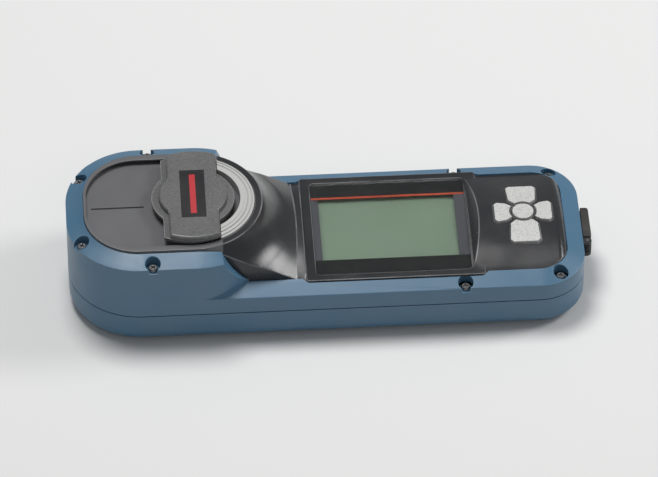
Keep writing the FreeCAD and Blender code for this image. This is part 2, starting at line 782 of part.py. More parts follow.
def make_fascia():
    """One moulded cover from bay to keypad: rails, waist, display land and domed keypad."""
    blank = new_body("fascia_blank")
    pad(blank, S.fascia_seat, HIGH, fascia_outline(S.fascia_gap))
    head = new_body("fascia_head")
    pad(head, S.fascia_seat, S.rail_top, head_outline(S.rim_width + S.fascia_gap))
    x1 = right_x - S.rim_width - S.fascia_gap
    outer = overlap("FasciaOuter", blank, join(
        "FasciaForms", head, flare("fascia_flare", Size(0), S.fascia_seat),
        barrel("fascia_barrel", Size(0), well_x, x1, Size(20))))
    step, end, slope = display_start, display_end, S.display_slope
    air = new_body("display_air")
    pad_across(air, S.body_width, [
        (step, S.land_height), (end, S.land_height), (end + slope, S.crown_height + 1),
        (end + slope, HIGH), (step, HIGH)])
    land = block("Land", step, -half_width, S.fascia_seat, end + slope, half_width, S.land_height)
    pan = block("Pan", step, -(fascia_half - S.fascia_gap), S.land_under,
                end + slope, fascia_half - S.fascia_gap, S.land_height)
    land_blank = new_body("land_blank")
    pad(land_blank, S.fascia_seat, HIGH, fascia_outline(S.fascia_gap))
    stepped = join("FasciaStepped", less("FasciaSunk", outer, air),
                   overlap("LandCut", land_blank, land), pan)

    wall = S.fascia_wall
    inner_blank = new_body("inner_blank")
    pad(inner_blank, S.fascia_seat - 5, bay_ceiling, fascia_outline(S.rim_lip + S.fascia_gap))
    inner_head = new_body("inner_head")
    pad(inner_head, S.fascia_seat - 5, bay_ceiling, head_outline(S.rim_width + S.rim_lip + S.fascia_gap))
    inner = overlap("FasciaInner", inner_blank, join(
        "InnerForms", inner_head, flare("inner_flare", wall, S.fascia_seat - 5),
        barrel("inner_barrel", wall, well_x, x1 - wall, Size(20))))
    solid = new_body("display_solid")
    pad_across(solid, S.body_width, [
        (step - wall, S.land_under), (end + slope + wall, S.land_under),
        (end + slope + wall, HIGH), (step - wall, HIGH)])
    hollow = less("FasciaHollow", stepped, less("HollowForm", inner, solid))

    bay = new_body("bay_form")
    pad(bay, S.bay_floor, HIGH, bay_outline())
    slot = new_body("slot_form")
    pad(slot, S.bay_floor, S.rail_lip_under, head_outline(half_width - bay_half - S.rail_slot))
    pocket(slot, S.bay_floor, S.rail_lip_under,
           rectangle(well_x + S.ring_cut, -half_width, well_x + half_width, half_width))
    guide = block("Guide", left_x + S.rim_width + 4, -S.guide_width / 2, S.bay_floor - S.guide_depth,
                  well_x - seal_inner - S.seal_width - 9, S.guide_width / 2, HIGH)
    hole = rod("WellHole", S.well_bore + S.well_wall + S.well_clearance, 10, well_x, 0, bay_ceiling - 5)
    x, y = window_length / 2 + S.window_gap, window_width / 2 + S.window_gap
    window = new_body("window_form")
    pad(window, window_seat, HIGH,
        rounded(window_x - x, -y, window_x + x, y, S.window_corner + S.window_gap))
    x, y = x - S.window_ledge, y - S.window_ledge
    pad(window, S.land_under - 1, window_seat + 0.1, rectangle(window_x - x, -y, window_x + x, y))
    keyholes = [prism(f"{name}_hole", path, S.fascia_seat - 4, HIGH)
                for name, path in key_shapes(S.key_gap)]
    dimple = rod("Dimple", S.detent_radius, 5, well_x + S.detent_x, S.detent_y, S.bay_floor - 0.5)
    cuts = [bay, slot, guide, hole, window, dimple, *keyholes]
    return keep(less("Fascia", hollow, *cuts), "fascia")


def prism(name, path, low, high):
    body = new_body(name)
    pad(body, low, high, path)
    return body


# Keys
def mirrored(path, flip):
    """An outline turned over by a function of its corners, still running anticlockwise."""
    turned = []
    for index in range(len(path) - 1, -1, -1):
        turned.append(flip(*path[index][:2]) + tuple(path[index - 1][2:]))
    return turned


def key_shapes(grow):
    """Outlines of the five keys round a small middle one, let out by a gap: (name, outline)."""
    g = Size.wrap(grow)
    cx = keypad_x
    ring = S.key_ring - g
    width = S.key_notch + g
    rise = root(ring * ring - width * width)
    reach, outer, inner = S.long_key_reach + g, S.long_key_outer + g, S.long_key_inner + g
    c = S.key_corner
    up = [(cx - width, rise, -ring), (cx + width, rise), (cx + inner, S.long_key_waist),
          (cx + outer, reach - c), (cx + outer - c, reach), (cx - outer + c, reach),
          (cx - outer, reach - c), (cx - inner, S.long_key_waist)]
    tip, half, shoulder = S.side_key_reach + g, S.side_key_half + g, S.side_key_inner + g
    right = [(cx + rise, width, -ring), (cx + rise, -width), (cx + S.side_key_shoulder, -shoulder),
             (cx + tip - c, -half), (cx + tip, -half + c), (cx + tip, half - c),
             (cx + tip - c, half), (cx + S.side_key_shoulder, shoulder)]
    r = S.ok_radius + g
    return [
        ("key_up", up),
        ("key_down", mirrored(up, lambda x, y: (x, -y))),
        ("key_right", right),
        ("key_left", mirrored(right, lambda x, y: (cx * 2 - x, y))),
        ("key_ok", [(cx + r, Size(0), r), (cx, r, r), (cx - r, Size(0), r), (cx, -r, r)]),
    ]


def make_keys():
    """Five caps that stand just proud of the dome, each with a flange under the fascia."""
    under = S.fascia_wall + S.key_flange_gap
    lower = under + S.key_flange_thickness
    x0, x1 = keypad_x - 20, keypad_x + 28
    for (name, path), (_, wide) in zip(key_shapes(Size(0)), key_shapes(S.key_flange)):
        cap = overlap(f"{name}_cap", prism(f"{name}_stem", path, S.key_bottom, HIGH),
                      barrel(f"{name}_dome", -S.key_proud, x0, x1, Size(20)))
        layer = less(f"{name}_shell", barrel(f"{name}_upper", under, x0, x1, Size(20)),
                     barrel(f"{name}_lower", lower, x0 - 1, x1 + 1, Size(19)))
        flange = overlap(f"{name}_ledge", prism(f"{name}_skirt", wide, S.key_bottom, HIGH), layer)
        keep(join("".join(w.title() for w in name.split("_")), cap, flange), name)


# Sample well and optics
def ring(name, inner, outer, low, high, x=well_x, y=0):
    return less(name, rod(name + "Out", outer, high - low, x, y, low),
                rod(name + "In", inner, high - low + 2, x, y, low - 1))


def make_well():
    """The vial tube, closed below, with a flange under the bay floor and two light holes."""
    body = new_body("sample_well")
    outer = S.well_bore + S.well_wall
    flange_top = S.well_flange_under + S.well_flange_thickness
    turn(body, [
        (Size(0), cavity_floor), (outer, cavity_floor), (outer, S.well_flange_under),
        (outer + S.well_flange, S.well_flange_under), (outer + S.well_flange, flange_top),
        (outer, flange_top), (outer, S.bay_floor),
        (S.well_bore + S.well_lead, S.bay_floor), (S.well_bore, S.bay_floor - S.well_lead),
        (S.well_bore, cavity_floor + S.well_base), (Size(0), cavity_floor + S.well_base),
    ], centre=well_x)
    pocket_across(body, S.body_width, plane="YZ", circles=[(Size(0), S.optic_height, S.light_channel)])
    return keep(body)


def make_optics():
    """The block that holds lamp and detector either side of the vial, with a lens for each."""
    outer = S.well_bore + S.well_wall
    x, y = S.optic_half, outer + S.optic_cheek
    solid = block("OpticSolid", well_x - x, -y, S.optic_bottom, well_x + x, y, S.optic_top)
    bore = rod("OpticBore", outer + 0.05, HIGH, well_x, 0, S.optic_bottom - 1)
    channel = rod("OpticChannel", S.light_channel, x * 2 + 2, well_x - x - 1, 0, S.optic_height, "X")
    keep(less("OpticalBlock", solid, bore, channel), "optical_block")
    lenses = [rod(f"Lens{n}", S.lens_radius, S.lens_thickness, start, 0, S.optic_height, "X")
              for n, start in enumerate([well_x - outer - 2.5, well_x + outer + 1.0])]
    group("well_windows", lenses)
    half, thick = S.optic_board_half, S.optic_board_thickness
    for label, side in (("emitter_board", -1), ("detector_board", 1)):
        near_x = well_x + side * x
        far_x = near_x + side * thick
        low, high = (far_x, near_x) if side < 0 else (near_x, far_x)
        plate = block(label + "Plate", low, -half, S.optic_bottom, high, half, S.optic_top)
        can = rod(label + "Can", S.light_channel - 0.2, 3, near_x - (0 if side < 0 else 3), 0,
                  S.optic_height, "X")
        keep(join(label.title().replace("_", ""), plate, can), label)
    seal = doc.addObject("Part::Torus", "WellSeal")
    top = bay_ceiling - S.well_seal_section
    bind(seal, Radius1=outer + 1.5, Radius2=S.well_seal_section)
    place(seal, well_x, 0, top)
    keep(seal, "well_seal")


def make_well_ring():
    """The pale crescent beside the well: a raised inner land, then a slope with two grooves."""
    land, edge = ring_inner + S.ring_land, bay_half - S.ring_gap
    start = S.ring_top - S.ring_step_drop
    fall = (start - S.ring_edge_top) / (edge - land)
    grooves = []
    for turns in (2, 1):
        near_side = land + S.ring_groove_pitch * turns - S.ring_groove
        far_side = near_side + S.ring_groove
        bottom = start - (far_side - land) * fall - S.ring_groove_depth
        grooves += [(far_side, start - (far_side - land) * fall), (far_side, bottom),
                    (near_side, bottom), (near_side, start - (near_side - land) * fall)]
    body = new_body("well_ring")
    turn(body, [
        (ring_inner, S.bay_floor), (edge, S.bay_floor), (edge, S.ring_edge_top), *grooves,
        (land, start), (land, S.ring_top), (ring_inner, S.ring_top),
    ], centre=well_x)
    pocket(body, S.bay_floor - 1, HIGH,
           rectangle(well_x - half_width, -half_width, well_x + S.ring_cut, half_width))
    return keep(body)


# Light shield
def bar_outline(reach, left, right):
    """The shield's bar seen from above, with bowed ends and small round corners."""
    r = S.shield_end_curve
    x0, x1 = well_x - left, well_x + right
    bow = r - root(r * r - (x1 - x0) * (x1 - x0) / 4)
    return [(x0, -(reach - bow), r), (x1, -(reach - bow)), (x1, reach - bow, r), (x0, reach - bow)]


def rounded_block(name, whole, top, radius):
    """The same shape with its upper edges rounded."""
    doc.recompute()
    made = doc.addObject("Part::Fillet", name)
    made.Base = whole
    edges = [n for n, edge in enumerate(whole.Shape.Edges, 1)
             if all(near(vertex.Point.z, top) for vertex in edge.Vertexes)]
    made.Edges = [(n, float(radius), float(radius)) for n in edges]
    return made


def make_shield():
    """The sliding cover of the well: a bowed bar with a round middle, on a wider lower layer."""
    bar = new_body("shield_bar")
    half, reach = S.shield_bar_half, bay_half + S.shield_overhang
    pad(bar, S.bar_under, S.shield_top, bar_outline(reach, half, half))
    sides = (float(well_x - half), float(well_x + half))
    soften(bar, lambda p: any(near(p.x, x, 0.01) for x in sides) and float(reach) - 3 < abs(p.y),
           Radius=S.shield_corner)
    disc = rod("ShieldDisc", disc_radius, S.shield_top - S.bar_under, well_x, 0, S.bar_under)
    whole = join("ShieldWhole", bar, disc)
    rounds = rounded_block("ShieldRound", whole, S.shield_top, S.shield_round)
    a, b = S.label_length / 2 + S.label_gap, S.label_width / 2 + S.label_gap
    recess = block("LabelRecess", well_x - b, -a, S.shield_top - S.label_depth, well_x + b, a, HIGH)
    length = S.shield_top - 1.6 - S.runner_under
    holes = [rod(f"ShieldHole{n}", S.pilot_radius, length, x, y, S.runner_under)
             for n, (x, y) in enumerate(shield_screw_spots)]
    keep(less("LightShield", rounds, recess, *holes), "light_shield")


def make_skirt():
    """The shield's lower layer, with the tube that guides the detent ball, and its soft seal."""
    lower = new_body("skirt_bar")
    half, reach = S.shield_bar_half, bay_half + S.shield_overhang
    pad(lower, S.shield_under, S.bar_under,
        bar_outline(reach - S.skirt_short, half + S.shield_lower_step, half))
    plate = rod("SkirtPlate", skirt_radius, S.bar_under - S.shield_under, well_x, 0, S.shield_under)
    x, y, low = well_x + S.detent_x, S.detent_y, S.runner_under
    tube = rod("DetentTube", S.detent_tube, S.shield_under - low - 0.4, x, y, low + 0.4)
    bore = rod("DetentBore", S.detent_radius + 0.05, S.bar_under - low - 1, x, y, low)
    holes = [rod(f"SkirtHole{n}", S.clearance_radius, 20, sx, sy, low)
             for n, (sx, sy) in enumerate(shield_screw_spots)]
    keep(less("ShieldSkirt", join("SkirtForm", lower, plate, tube), bore, *holes), "shield_skirt")
    keep(ring("ShieldSeal", seal_inner, seal_inner + S.seal_width, S.seal_under, S.shield_under),
         "shield_seal")


def make_runners():
    """Two hooked feet that hold the shield down under the rails, and the screws up through them."""
    feet, screws = [], []
    x0, x1 = well_x + S.runner_start, well_x + S.runner_end
    head = S.screw_head * 0.8
    for n, (side, (x, y)) in enumerate(zip((-1, 1), shield_screw_spots)):
        inner, outer = runner_neck - S.runner_width, runner_neck + S.runner_toe
        neck_y = sorted([side * inner, side * runner_neck], key=float)
        toe_y = sorted([side * inner, side * outer], key=float)
        neck = block(f"Neck{n}", x0, neck_y[0], S.runner_under, x1, neck_y[1], S.shield_under)
        toe = block(f"Toe{n}", x0, toe_y[0], S.runner_under, x1, toe_y[1], S.runner_toe_top)
        sink = rod(f"RunnerSink{n}", head + 0.1, 1.4, x, y, S.runner_under - 0.1)
        passage = rod(f"RunnerHole{n}", S.clearance_radius, 10, x, y, S.runner_under - 1)
        feet.append(less(f"Runner{n}", join(f"RunnerForm{n}", neck, toe), sink, passage))
        low = S.runner_under + 0.1
        screws.append(join(f"ShieldScrew{n}", rod(f"ShieldHead{n}", head, 1.2, x, y, low),
                           rod(f"ShieldShank{n}", S.shaft_radius, S.shield_top - 2.0 - low, x, y, low)))
    group("shield_runners", feet)
    group("shield_screws", screws)


def make_label():
    """A plain plate let into the shield, with a stripe let into the plate."""
    a, b = S.label_length / 2, S.label_width / 2
    low, top = S.shield_top - S.label_depth, S.shield_top - S.label_depth + S.label_thickness
    plate = block("LabelPlate", well_x - b, -a, low, well_x + b, a, top)
    half, end = S.stripe_width / 2, a - S.stripe_inset
    inlay = block("LabelInlay", well_x - half, -end, top - S.stripe_depth, well_x + half, end, top)
    keep(less("ShieldLabel", plate, inlay), "shield_label")
    stripe = block("LabelStripe", well_x - half, -end, top - S.stripe_depth, well_x + half, end, top)
    keep(stripe, "label_stripe")


def make_detent():
    """The ball that clicks into a dimple in the bay when the shield is shut, and its spring."""
    x, y = well_x + S.detent_x, S.detent_y
    ball = doc.addObject("Part::Sphere", "DetentBall")
    bind(ball, Radius=S.detent_radius)
    place(ball, x, y, S.detent_under + S.detent_radius)
    keep(ball, "detent_ball")
    low = S.detent_under + S.detent_radius * 2 + 0.05
    keep(rod("DetentSpring", S.detent_radius - 0.2, S.bar_under - 1 - low, x, y, low), "detent_spring")


# Display
def make_display():
    """Window over a printed mask over the module: panel, light guide and holding frame."""
    x, y = window_length / 2, window_width / 2
    outline = rounded(window_x - x, -y, window_x + x, y, S.window_corner)
    window = new_body("display_window")
    low = window_seat + S.mask_thickness
    pad(window, low, low + S.window_thickness, outline)
    keep(window)
    a, b = view_length / 2, view_width / 2

    def slab(name, margin, bottom, top):
        """A block that reaches past the view by a margin on all four sides."""
        return block(name, view_x - a - margin, -b - margin, bottom, view_x + a + margin, b + margin, top)

    sheet_form = prism("mask_form", outline, window_seat, low)
    keep(less("DisplayMask", sheet_form, slab("MaskView", 0, window_seat - 1, low + 1)), "display_mask")
    edge, seam = S.lcd_margin, S.lcd_top - S.lcd_thickness
    under = seam - S.backlight_thickness
    keep(slab("LcdPanel", edge, seam, S.lcd_top), "lcd_panel")
    keep(slab("LcdBacklight", edge, under, seam), "lcd_backlight")
    wall = edge + 0.1 + S.lcd_frame_wall
    keep(less("LcdFrame", slab("FrameSolid", wall, board_top, S.lcd_frame_top),
              slab("FrameNest", edge + 0.1, under, HIGH), slab("FrameRoom", 0, board_top - 1, HIGH)),
         "lcd_frame")
    keep(less("DisplayGasket", slab("GasketSolid", wall, S.lcd_frame_top, S.land_under),
              slab("GasketRoom", edge, S.lcd_frame_top - 1, HIGH)), "display_gasket")


# Boards and battery
def make_boards():
    """The main board on the battery tray, with the keypad board standing over it on posts."""
    y, end, c = half_width - S.board_side_gap, right_x - S.board_end_gap, S.board_corner
    board = new_body("main_board")
    pad(board, S.tray_top, board_top, [
        (board_start, -y), (end - c, -y), (end, -y + c), (end, y - c), (end - c, y), (board_start, y)])
    keep(board)
    low = S.keypad_board_under
    top = low + S.keypad_board_thickness
    x0, x1, half = keypad_x - S.keypad_board_near, keypad_x + S.keypad_board_far, S.keypad_board_half
    keep(block("KeypadBoard", x0, -half, low, x1, half, top), "keypad_board")
    inset = S.post_inset
    corners = [(x, side * (half - inset)) for x in (x0 + inset, x1 - inset) for side in (-1, 1)]
    posts = [rod(f"Post{n}", S.post_radius, low - board_top, x, y, board_top)
             for n, (x, y) in enumerate(corners)]
    group("board_posts", posts)
    half, switches = S.switch_size / 2, []
    for n, (x, y) in enumerate(key_centres):
        cx, lid = keypad_x + x, top + S.switch_height
        case = block(f"Switch{n}", cx - half, y - half, top, cx + half, y + half, lid)
        stud = rod(f"Stud{n}", S.plunger_radius, S.plunger_height, cx, y, lid)
        switches.append(join(f"KeySwitch{n}", case, stud))
    group("key_switches", switches)
    spots = [(board_start + 2, -30, 9, 1.6), (board_start + 2, 12, 7, 1.4), (keypad_x - 15, -9, 9, 2.0)]
    chips = [block(f"Chip{n}", x, y, board_top, x + w, y + w, board_top + h)
             for n, (x, y, w, h) in enumerate(spots)]
    group("board_chips", chips)


def make_battery():
    """Four cells side by side under a cradle, with a leaf spring and a plate at the ends of each."""
    length, width = S.cell_length + S.contact_room * 2, S.cell_pitch * 4
    x0, x1, z = battery_x - length / 2, battery_x + length / 2, S.cell_height
    rows = [S.cell_pitch * (n - 1.5) for n in range(4)]
    w = S.tray_wall
    solid = block("TraySolid", x0 - w, -width / 2 - w, cavity_floor, x1 + w, width / 2 + w, S.tray_top)
    below = block("TrayRoom", x0, -width / 2, cavity_floor - 1, x1, width / 2, z)
    cradles = [rod(f"Cradle{n}", S.cell_radius + S.cell_gap, length, x0, y, z, "X")
               for n, y in enumerate(rows)]
    keep(less("BatteryTray", solid, below, *cradles), "battery_tray")
    cells, plates, springs = [], [], []
    nub, half, thick = 1.2, S.plate_half, S.leaf_thickness
    for n, y in enumerate(rows):
        to_right = n % 2 == 1
        start = battery_x - S.cell_length / 2 + (0 if to_right else nub)
        tip = battery_x + S.cell_length / 2 - nub if to_right else battery_x - S.cell_length / 2
        cells.append(join(f"CellWhole{n}",
                          rod(f"Cell{n}", S.cell_radius, S.cell_length - nub, start, y, z, "X"),
                          rod(f"Nub{n}", Size(2.6), nub, tip, y, z, "X")))
        plate_x = x1 - 0.5 if to_right else x0
        plates.append(block(f"Plate{n}", plate_x, y - half, z - half, plate_x + 0.5, y + half, z + half))
        leaf = new_body(f"leaf_{n}")
        pad_across(leaf, S.leaf_width, leaf_path(x0 if to_right else x1, 1 if to_right else -1, half, thick))
        springs.append(place(leaf, 0, y, z))
    group("battery_cells", cells)
    group("contact_plates", plates)
    group("contact_springs", springs)


def leaf_path(wall, sign, half, thick):
    """A bent leaf seen from the side: flat against the wall, then out towards the cell and back."""
    out = S.contact_room - 0.2
    return [(wall, -half), (wall + sign * thick, -half), (wall + sign * thick, half * 0.55),
            (wall + sign * out, Size(0)), (wall + sign * out, half * -0.75),
            (wall + sign * (out + 0.15), half * -0.75), (wall + sign * (out + 0.15), half * 0.08),
            (wall + sign * (thick + 0.2), half), (wall, half)]


def make_underside():
    """The battery door with its screws, and the four feet."""
    a, b = S.door_length / 2 - S.door_gap, S.door_width / 2 - S.door_gap
    low, top = S.foot_height, S.foot_height + S.door_thickness
    door = new_body("battery_door")
    pad(door, low, top, rounded(battery_x - a, -b, battery_x + a, b, S.door_corner - S.door_gap))
    x, y = S.door_opening_length / 2 - S.door_pad_margin, S.door_opening_width / 2 - S.door_pad_margin
    pad(door, top, top + S.door_pad, rectangle(battery_x - x, -y, battery_x + x, y))
    pocket(door, low, top, circles=[(sx, sy, S.clearance_radius) for sx, sy in door_screws])
    keep(door)
    length = cavity_floor + 2 - low - 0.2
    screws = [rod(f"DoorScrew{n}", S.shaft_radius, length, sx, sy, low + 0.2)
              for n, (sx, sy) in enumerate(door_screws)]
    group("door_screws", screws)
    feet = [rod(f"Foot{n}", S.foot_radius, S.foot_height + S.foot_inset, fx, fy, 0)
            for n, (fx, fy) in enumerate(foot_spots)]
    group("base_feet", feet)


# Socket and its cover
def make_port():
    """The data socket on the board's end and the hinged cover over it."""
    y, z, w = S.port_width / 2, S.port_tall / 2, S.socket_wall
    back, mouth = right_x - S.port_depth, right_x - S.plug_depth - S.cover_gap
    shell = block("SocketShell", back, -y, port_z - z, mouth, y, port_z + z)
    hollow = block("SocketHollow", back + 1, -y + w, port_z - z + w, right_x, y - w, port_z + z - w)
    tongue = block("SocketTongue", back, -y + 1.4, port_z - 0.35, mouth - 0.9, y - 1.4, port_z + 0.35)
    foot = block("SocketFoot", back, -y, board_top, back + 3, y, port_z - z + 0.1)
    keep(join("PortSocket", less("SocketOpen", shell, hollow), tongue, foot), "port_socket")


def make_port_cover():
    """The cover: a rounded block with a plug on its back, hung on an upright pin at its near end."""
    low, high = S.cover_bottom - S.pin_overrun, S.cover_top - 0.2
    keep(rod("PortPin", S.pin_radius, high - low, hinge_x, -S.hinge_y, low), "port_pin")
    inner, outer = right_x + S.cover_gap, right_x + S.cover_out
    body = new_body("cover_block")
    pad(body, S.cover_bottom, S.cover_top,
        rounded(inner, -S.cover_near, outer, S.cover_far, Size(0.6), Size(1.6)))
    slack = S.port_gap - S.cover_gap
    y, z = S.port_width / 2 + slack, S.port_tall / 2 + slack
    plug = block("Plug", right_x - S.plug_depth, -y, port_z - z, inner + 0.5, y, port_z + z)
    low, high = S.knuckle_bottom, S.knuckle_top
    arm = block("CoverArm", inner + 0.4, -S.hinge_y, low,
                hinge_x + S.hinge_radius - 0.4, -S.cover_near + 0.5, high)
    knuckle = rod("CoverKnuckle", S.hinge_radius, high - low, hinge_x, -S.hinge_y, low)
    bore = rod("CoverBore", S.pin_radius + S.pin_gap, HIGH, hinge_x, -S.hinge_y, Size(0))
    keep(less("PortCover", join("CoverForm", body, plug, arm, knuckle), bore), "port_cover")


make_bottom_housing()
make_top_housing()
make_housing_gasket()
make_cover_ears()
make_case_screws()
make_fascia()
make_keys()
make_well()
make_optics()
make_well_ring()
make_shield()
make_skirt()
make_runners()
make_label()
make_detent()
make_display()
make_boards()
make_battery()
make_underside()
make_port()
make_port_cover()
doc.recompute()

# Check every object before any file is written
for thing in doc.Objects:
    if "Invalid" in thing.State or "Error" in thing.State:
        raise RuntimeError(f"{thing.Name} did not build")
for thing in NODES:
    shape = thing.Shape
    if shape.isNull() or not shape.isValid() or not shape.Solids:
        raise RuntimeError(f"{thing.Label} has no sound solid")
for thing in NODES:
    thing.Shape.exportStep(f"parts/{thing.Label}.step")
    box = thing.Shape.BoundBox
    print(f"{thing.Label:18s} solids {len(thing.Shape.Solids)}  x {box.XMin:.1f} to {box.XMax:.1f}, "
          f"y {box.YMin:.1f} to {box.YMax:.1f}, z {box.ZMin:.1f} to {box.ZMax:.1f}")
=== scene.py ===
# %% [markdown]
# # A portable photometer in a frame of solids
# This lesson dresses a hand-held measuring instrument. Its solids arrive already made, in metres,
# with the long axis along X, the measuring head at the low end and the display facing up. The
# solids say where everything is, so each step below only adds finish, soft edges and small detail.

# %% Load the frame
import bpy
import bmesh
import math
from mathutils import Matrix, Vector


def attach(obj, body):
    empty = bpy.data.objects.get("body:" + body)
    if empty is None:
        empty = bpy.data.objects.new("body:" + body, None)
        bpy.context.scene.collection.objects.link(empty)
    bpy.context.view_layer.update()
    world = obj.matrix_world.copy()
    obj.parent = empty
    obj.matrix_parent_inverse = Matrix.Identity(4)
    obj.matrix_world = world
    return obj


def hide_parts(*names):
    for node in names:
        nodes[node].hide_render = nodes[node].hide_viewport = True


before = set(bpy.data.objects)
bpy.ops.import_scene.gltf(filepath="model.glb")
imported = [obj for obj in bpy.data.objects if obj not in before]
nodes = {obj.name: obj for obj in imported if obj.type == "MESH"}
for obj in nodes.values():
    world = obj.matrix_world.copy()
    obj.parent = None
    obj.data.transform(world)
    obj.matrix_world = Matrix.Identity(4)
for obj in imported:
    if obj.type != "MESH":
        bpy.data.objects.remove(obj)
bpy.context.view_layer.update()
MM = 0.001

# %% [markdown]
# ## A helper for shader groups
# Several finishes share one effect, such as the fine grain that a mould leaves on plastic. A
# shader node group holds such an effect once. Each group gets named inputs, so a material can
# place it with its own values, and it puts out only values that change over the surface.

# %% Shader group helper
def new_group(name, inputs, outputs):
    """An empty shader group with named sockets: {name: default} and {name: socket type}."""
    group = bpy.data.node_groups.new(name, "ShaderNodeTree")
    for label, default in inputs.items():
        kind = "NodeSocketColor" if isinstance(default, tuple) else "NodeSocketFloat"
        socket = group.interface.new_socket(label, in_out="INPUT", socket_type=kind)
        socket.default_value = default
    for label, kind in outputs.items():
        group.interface.new_socket(label, in_out="OUTPUT", socket_type=kind)
    return group, group.nodes.new("NodeGroupInput"), group.nodes.new("NodeGroupOutput")


print("groups can be started")

# %% [markdown]
# ## Nodes that calculate
# Inside a group, numbers and colours are worked out by small nodes. Three helpers make the ones that
# are used most: a sum or product, a mix of two colours, and a stretch of a value between two ends.

# %% Calculating nodes
def math_node(tree, operation, first, second):
    """A Math node whose inputs are sockets or numbers. It gives back its output."""
    node = tree.nodes.new("ShaderNodeMath")
    node.operation = operation
    for socket, value in zip(node.inputs, (first, second)):
        if isinstance(value, bpy.types.NodeSocket):
            tree.links.new(value, socket)
        else:
            socket.default_value = value
    return node.outputs[0]


def mixed(tree, factor, first, second):
    """A colour mix of two sockets or colours."""
    node = tree.nodes.new("ShaderNodeMix")
    node.data_type = "RGBA"
    for socket, value in zip((node.inputs[0], node.inputs[6], node.inputs[7]), (factor, first, second)):
        if isinstance(value, bpy.types.NodeSocket):
            tree.links.new(value, socket)
        else:
            socket.default_value = value
    return node.outputs[2]


def ramp(tree, value, low, high):
    """Stretches a value so that low becomes 0 and high becomes 1, clamped."""
    node = tree.nodes.new("ShaderNodeMapRange")
    node.inputs["From Min"].default_value = low
    node.inputs["From Max"].default_value = high
    tree.links.new(value, node.inputs["Value"])
    return node.outputs[0]


print("calculating nodes ready")

# %% [markdown]
# ## Noise on the object
# Nearly every unevenness starts from a noise. It reads the object's own coordinates, in metres, so
# the pattern stays on the piece when the piece moves, and its scale counts waves for each metre.

# %% Noise helper
def noise(tree, scale, detail=2.0, roughness=0.5, stretch=None):
    """Noise on Object coordinates, optionally stretched. It gives back the noise's value."""
    place = tree.nodes.new("ShaderNodeTexCoord").outputs["Object"]
    if stretch:
        mapping = tree.nodes.new("ShaderNodeMapping")
        mapping.inputs["Scale"].default_value = stretch
        tree.links.new(place, mapping.inputs["Vector"])
        place = mapping.outputs["Vector"]
    node = tree.nodes.new("ShaderNodeTexNoise")
    node.inputs["Detail"].default_value = detail
    node.inputs["Roughness"].default_value = roughness
    if isinstance(scale, bpy.types.NodeSocket):
        tree.links.new(scale, node.inputs["Scale"])
    else:
        node.inputs["Scale"].default_value = scale
    tree.links.new(place, node.inputs["Vector"])
    return node.outputs[0]


print("noise helper ready")

# %% [markdown]
# ## The grain of moulded plastic
# The housing, fascia, shield and keys are moulded plastic. A mould is etched, so the surface is
# not smooth: it has pits and islands about a third of a millimetre across. Two noises of different
# size, added together, give that relief. It feeds a Bump node, which each material keeps itself.

# %% Group: mould grain
grain, grain_in, grain_out = new_group(
    "mould_grain",
    {"Grain per metre": 2600.0, "Base roughness": 0.5, "Roughness change": 0.12},
    {"Height": "NodeSocketFloat", "Roughness": "NodeSocketFloat"})
fine = noise(grain, grain_in.outputs[0], 2.0)
broad = noise(grain, math_node(grain, "MULTIPLY", grain_in.outputs[0], 0.3), 1.0)
shares = [math_node(grain, "MULTIPLY", value, share) for value, share in ((fine, 0.7), (broad, 0.3))]
relief = math_node(grain, "ADD", *shares)
grain.links.new(relief, grain_out.inputs["Height"])
touched = ramp(grain, noise(grain, 38.0, 3.0), 0.35, 0.7)
swing = math_node(grain, "MULTIPLY", math_node(grain, "SUBTRACT", touched, 0.5), grain_in.outputs[2])
grain.links.new(math_node(grain, "ADD", grain_in.outputs[1], swing), grain_out.inputs["Roughness"])
print("mould_grain:", [s.name for s in grain.interface.items_tree])

# %% [markdown]
# ## Speckled plastic
# The shield and the keys are moulded from a plastic with pale and dark flecks in it. A Voronoi
# pattern gives every small cell its own random value, so a few cells can be picked as pale flecks
# and a few as dark ones.

# %% Group: flecks
flecks, flecks_in, flecks_out = new_group(
    "flecks",
    {"Ground": (0.2, 0.2, 0.2, 1.0), "Pale": (0.5, 0.5, 0.5, 1.0), "Dark": (0.05, 0.05, 0.05, 1.0),
     "Flecks per metre": 1500.0},
    {"Color": "NodeSocketColor"})
cells = flecks.nodes.new("ShaderNodeTexVoronoi")
flecks.links.new(flecks.nodes.new("ShaderNodeTexCoord").outputs["Object"], cells.inputs["Vector"])
flecks.links.new(flecks_in.outputs["Flecks per metre"], cells.inputs["Scale"])
parts = flecks.nodes.new("ShaderNodeSeparateColor")
flecks.links.new(cells.outputs["Color"], parts.inputs[0])
pale = ramp(flecks, parts.outputs[0], 0.74, 0.86)
dark = ramp(flecks, parts.outputs[1], 0.74, 0.86)
first = mixed(flecks, pale, flecks_in.outputs["Ground"], flecks_in.outputs["Pale"])
flecks.links.new(mixed(flecks, dark, first, flecks_in.outputs["Dark"]), flecks_out.inputs["Color"])
print("flecks:", [s.name for s in flecks.interface.items_tree])

# %% [markdown]
# ## Dust and handling
# Nothing that is carried to a river bank stays one even colour. A large soft noise tints the
# colour a little, and a finer one breaks that tint up.

# %% Group: handling
handled, handled_in, handled_out = new_group(
    "handling", {"Color": (0.5, 0.5, 0.5, 1.0), "Dust": (0.4, 0.38, 0.34, 1.0), "Amount": 0.1},
    {"Color": "NodeSocketColor"})
patches = ramp(handled, noise(handled, 24.0, 4.0, 0.6), 0.45, 0.75)
amount = math_node(handled, "MULTIPLY", patches, handled_in.outputs["Amount"])
handled.links.new(mixed(handled, amount, handled_in.outputs["Color"], handled_in.outputs["Dust"]),
                  handled_out.inputs["Color"])
print("handling:", [s.name for s in handled.interface.items_tree])

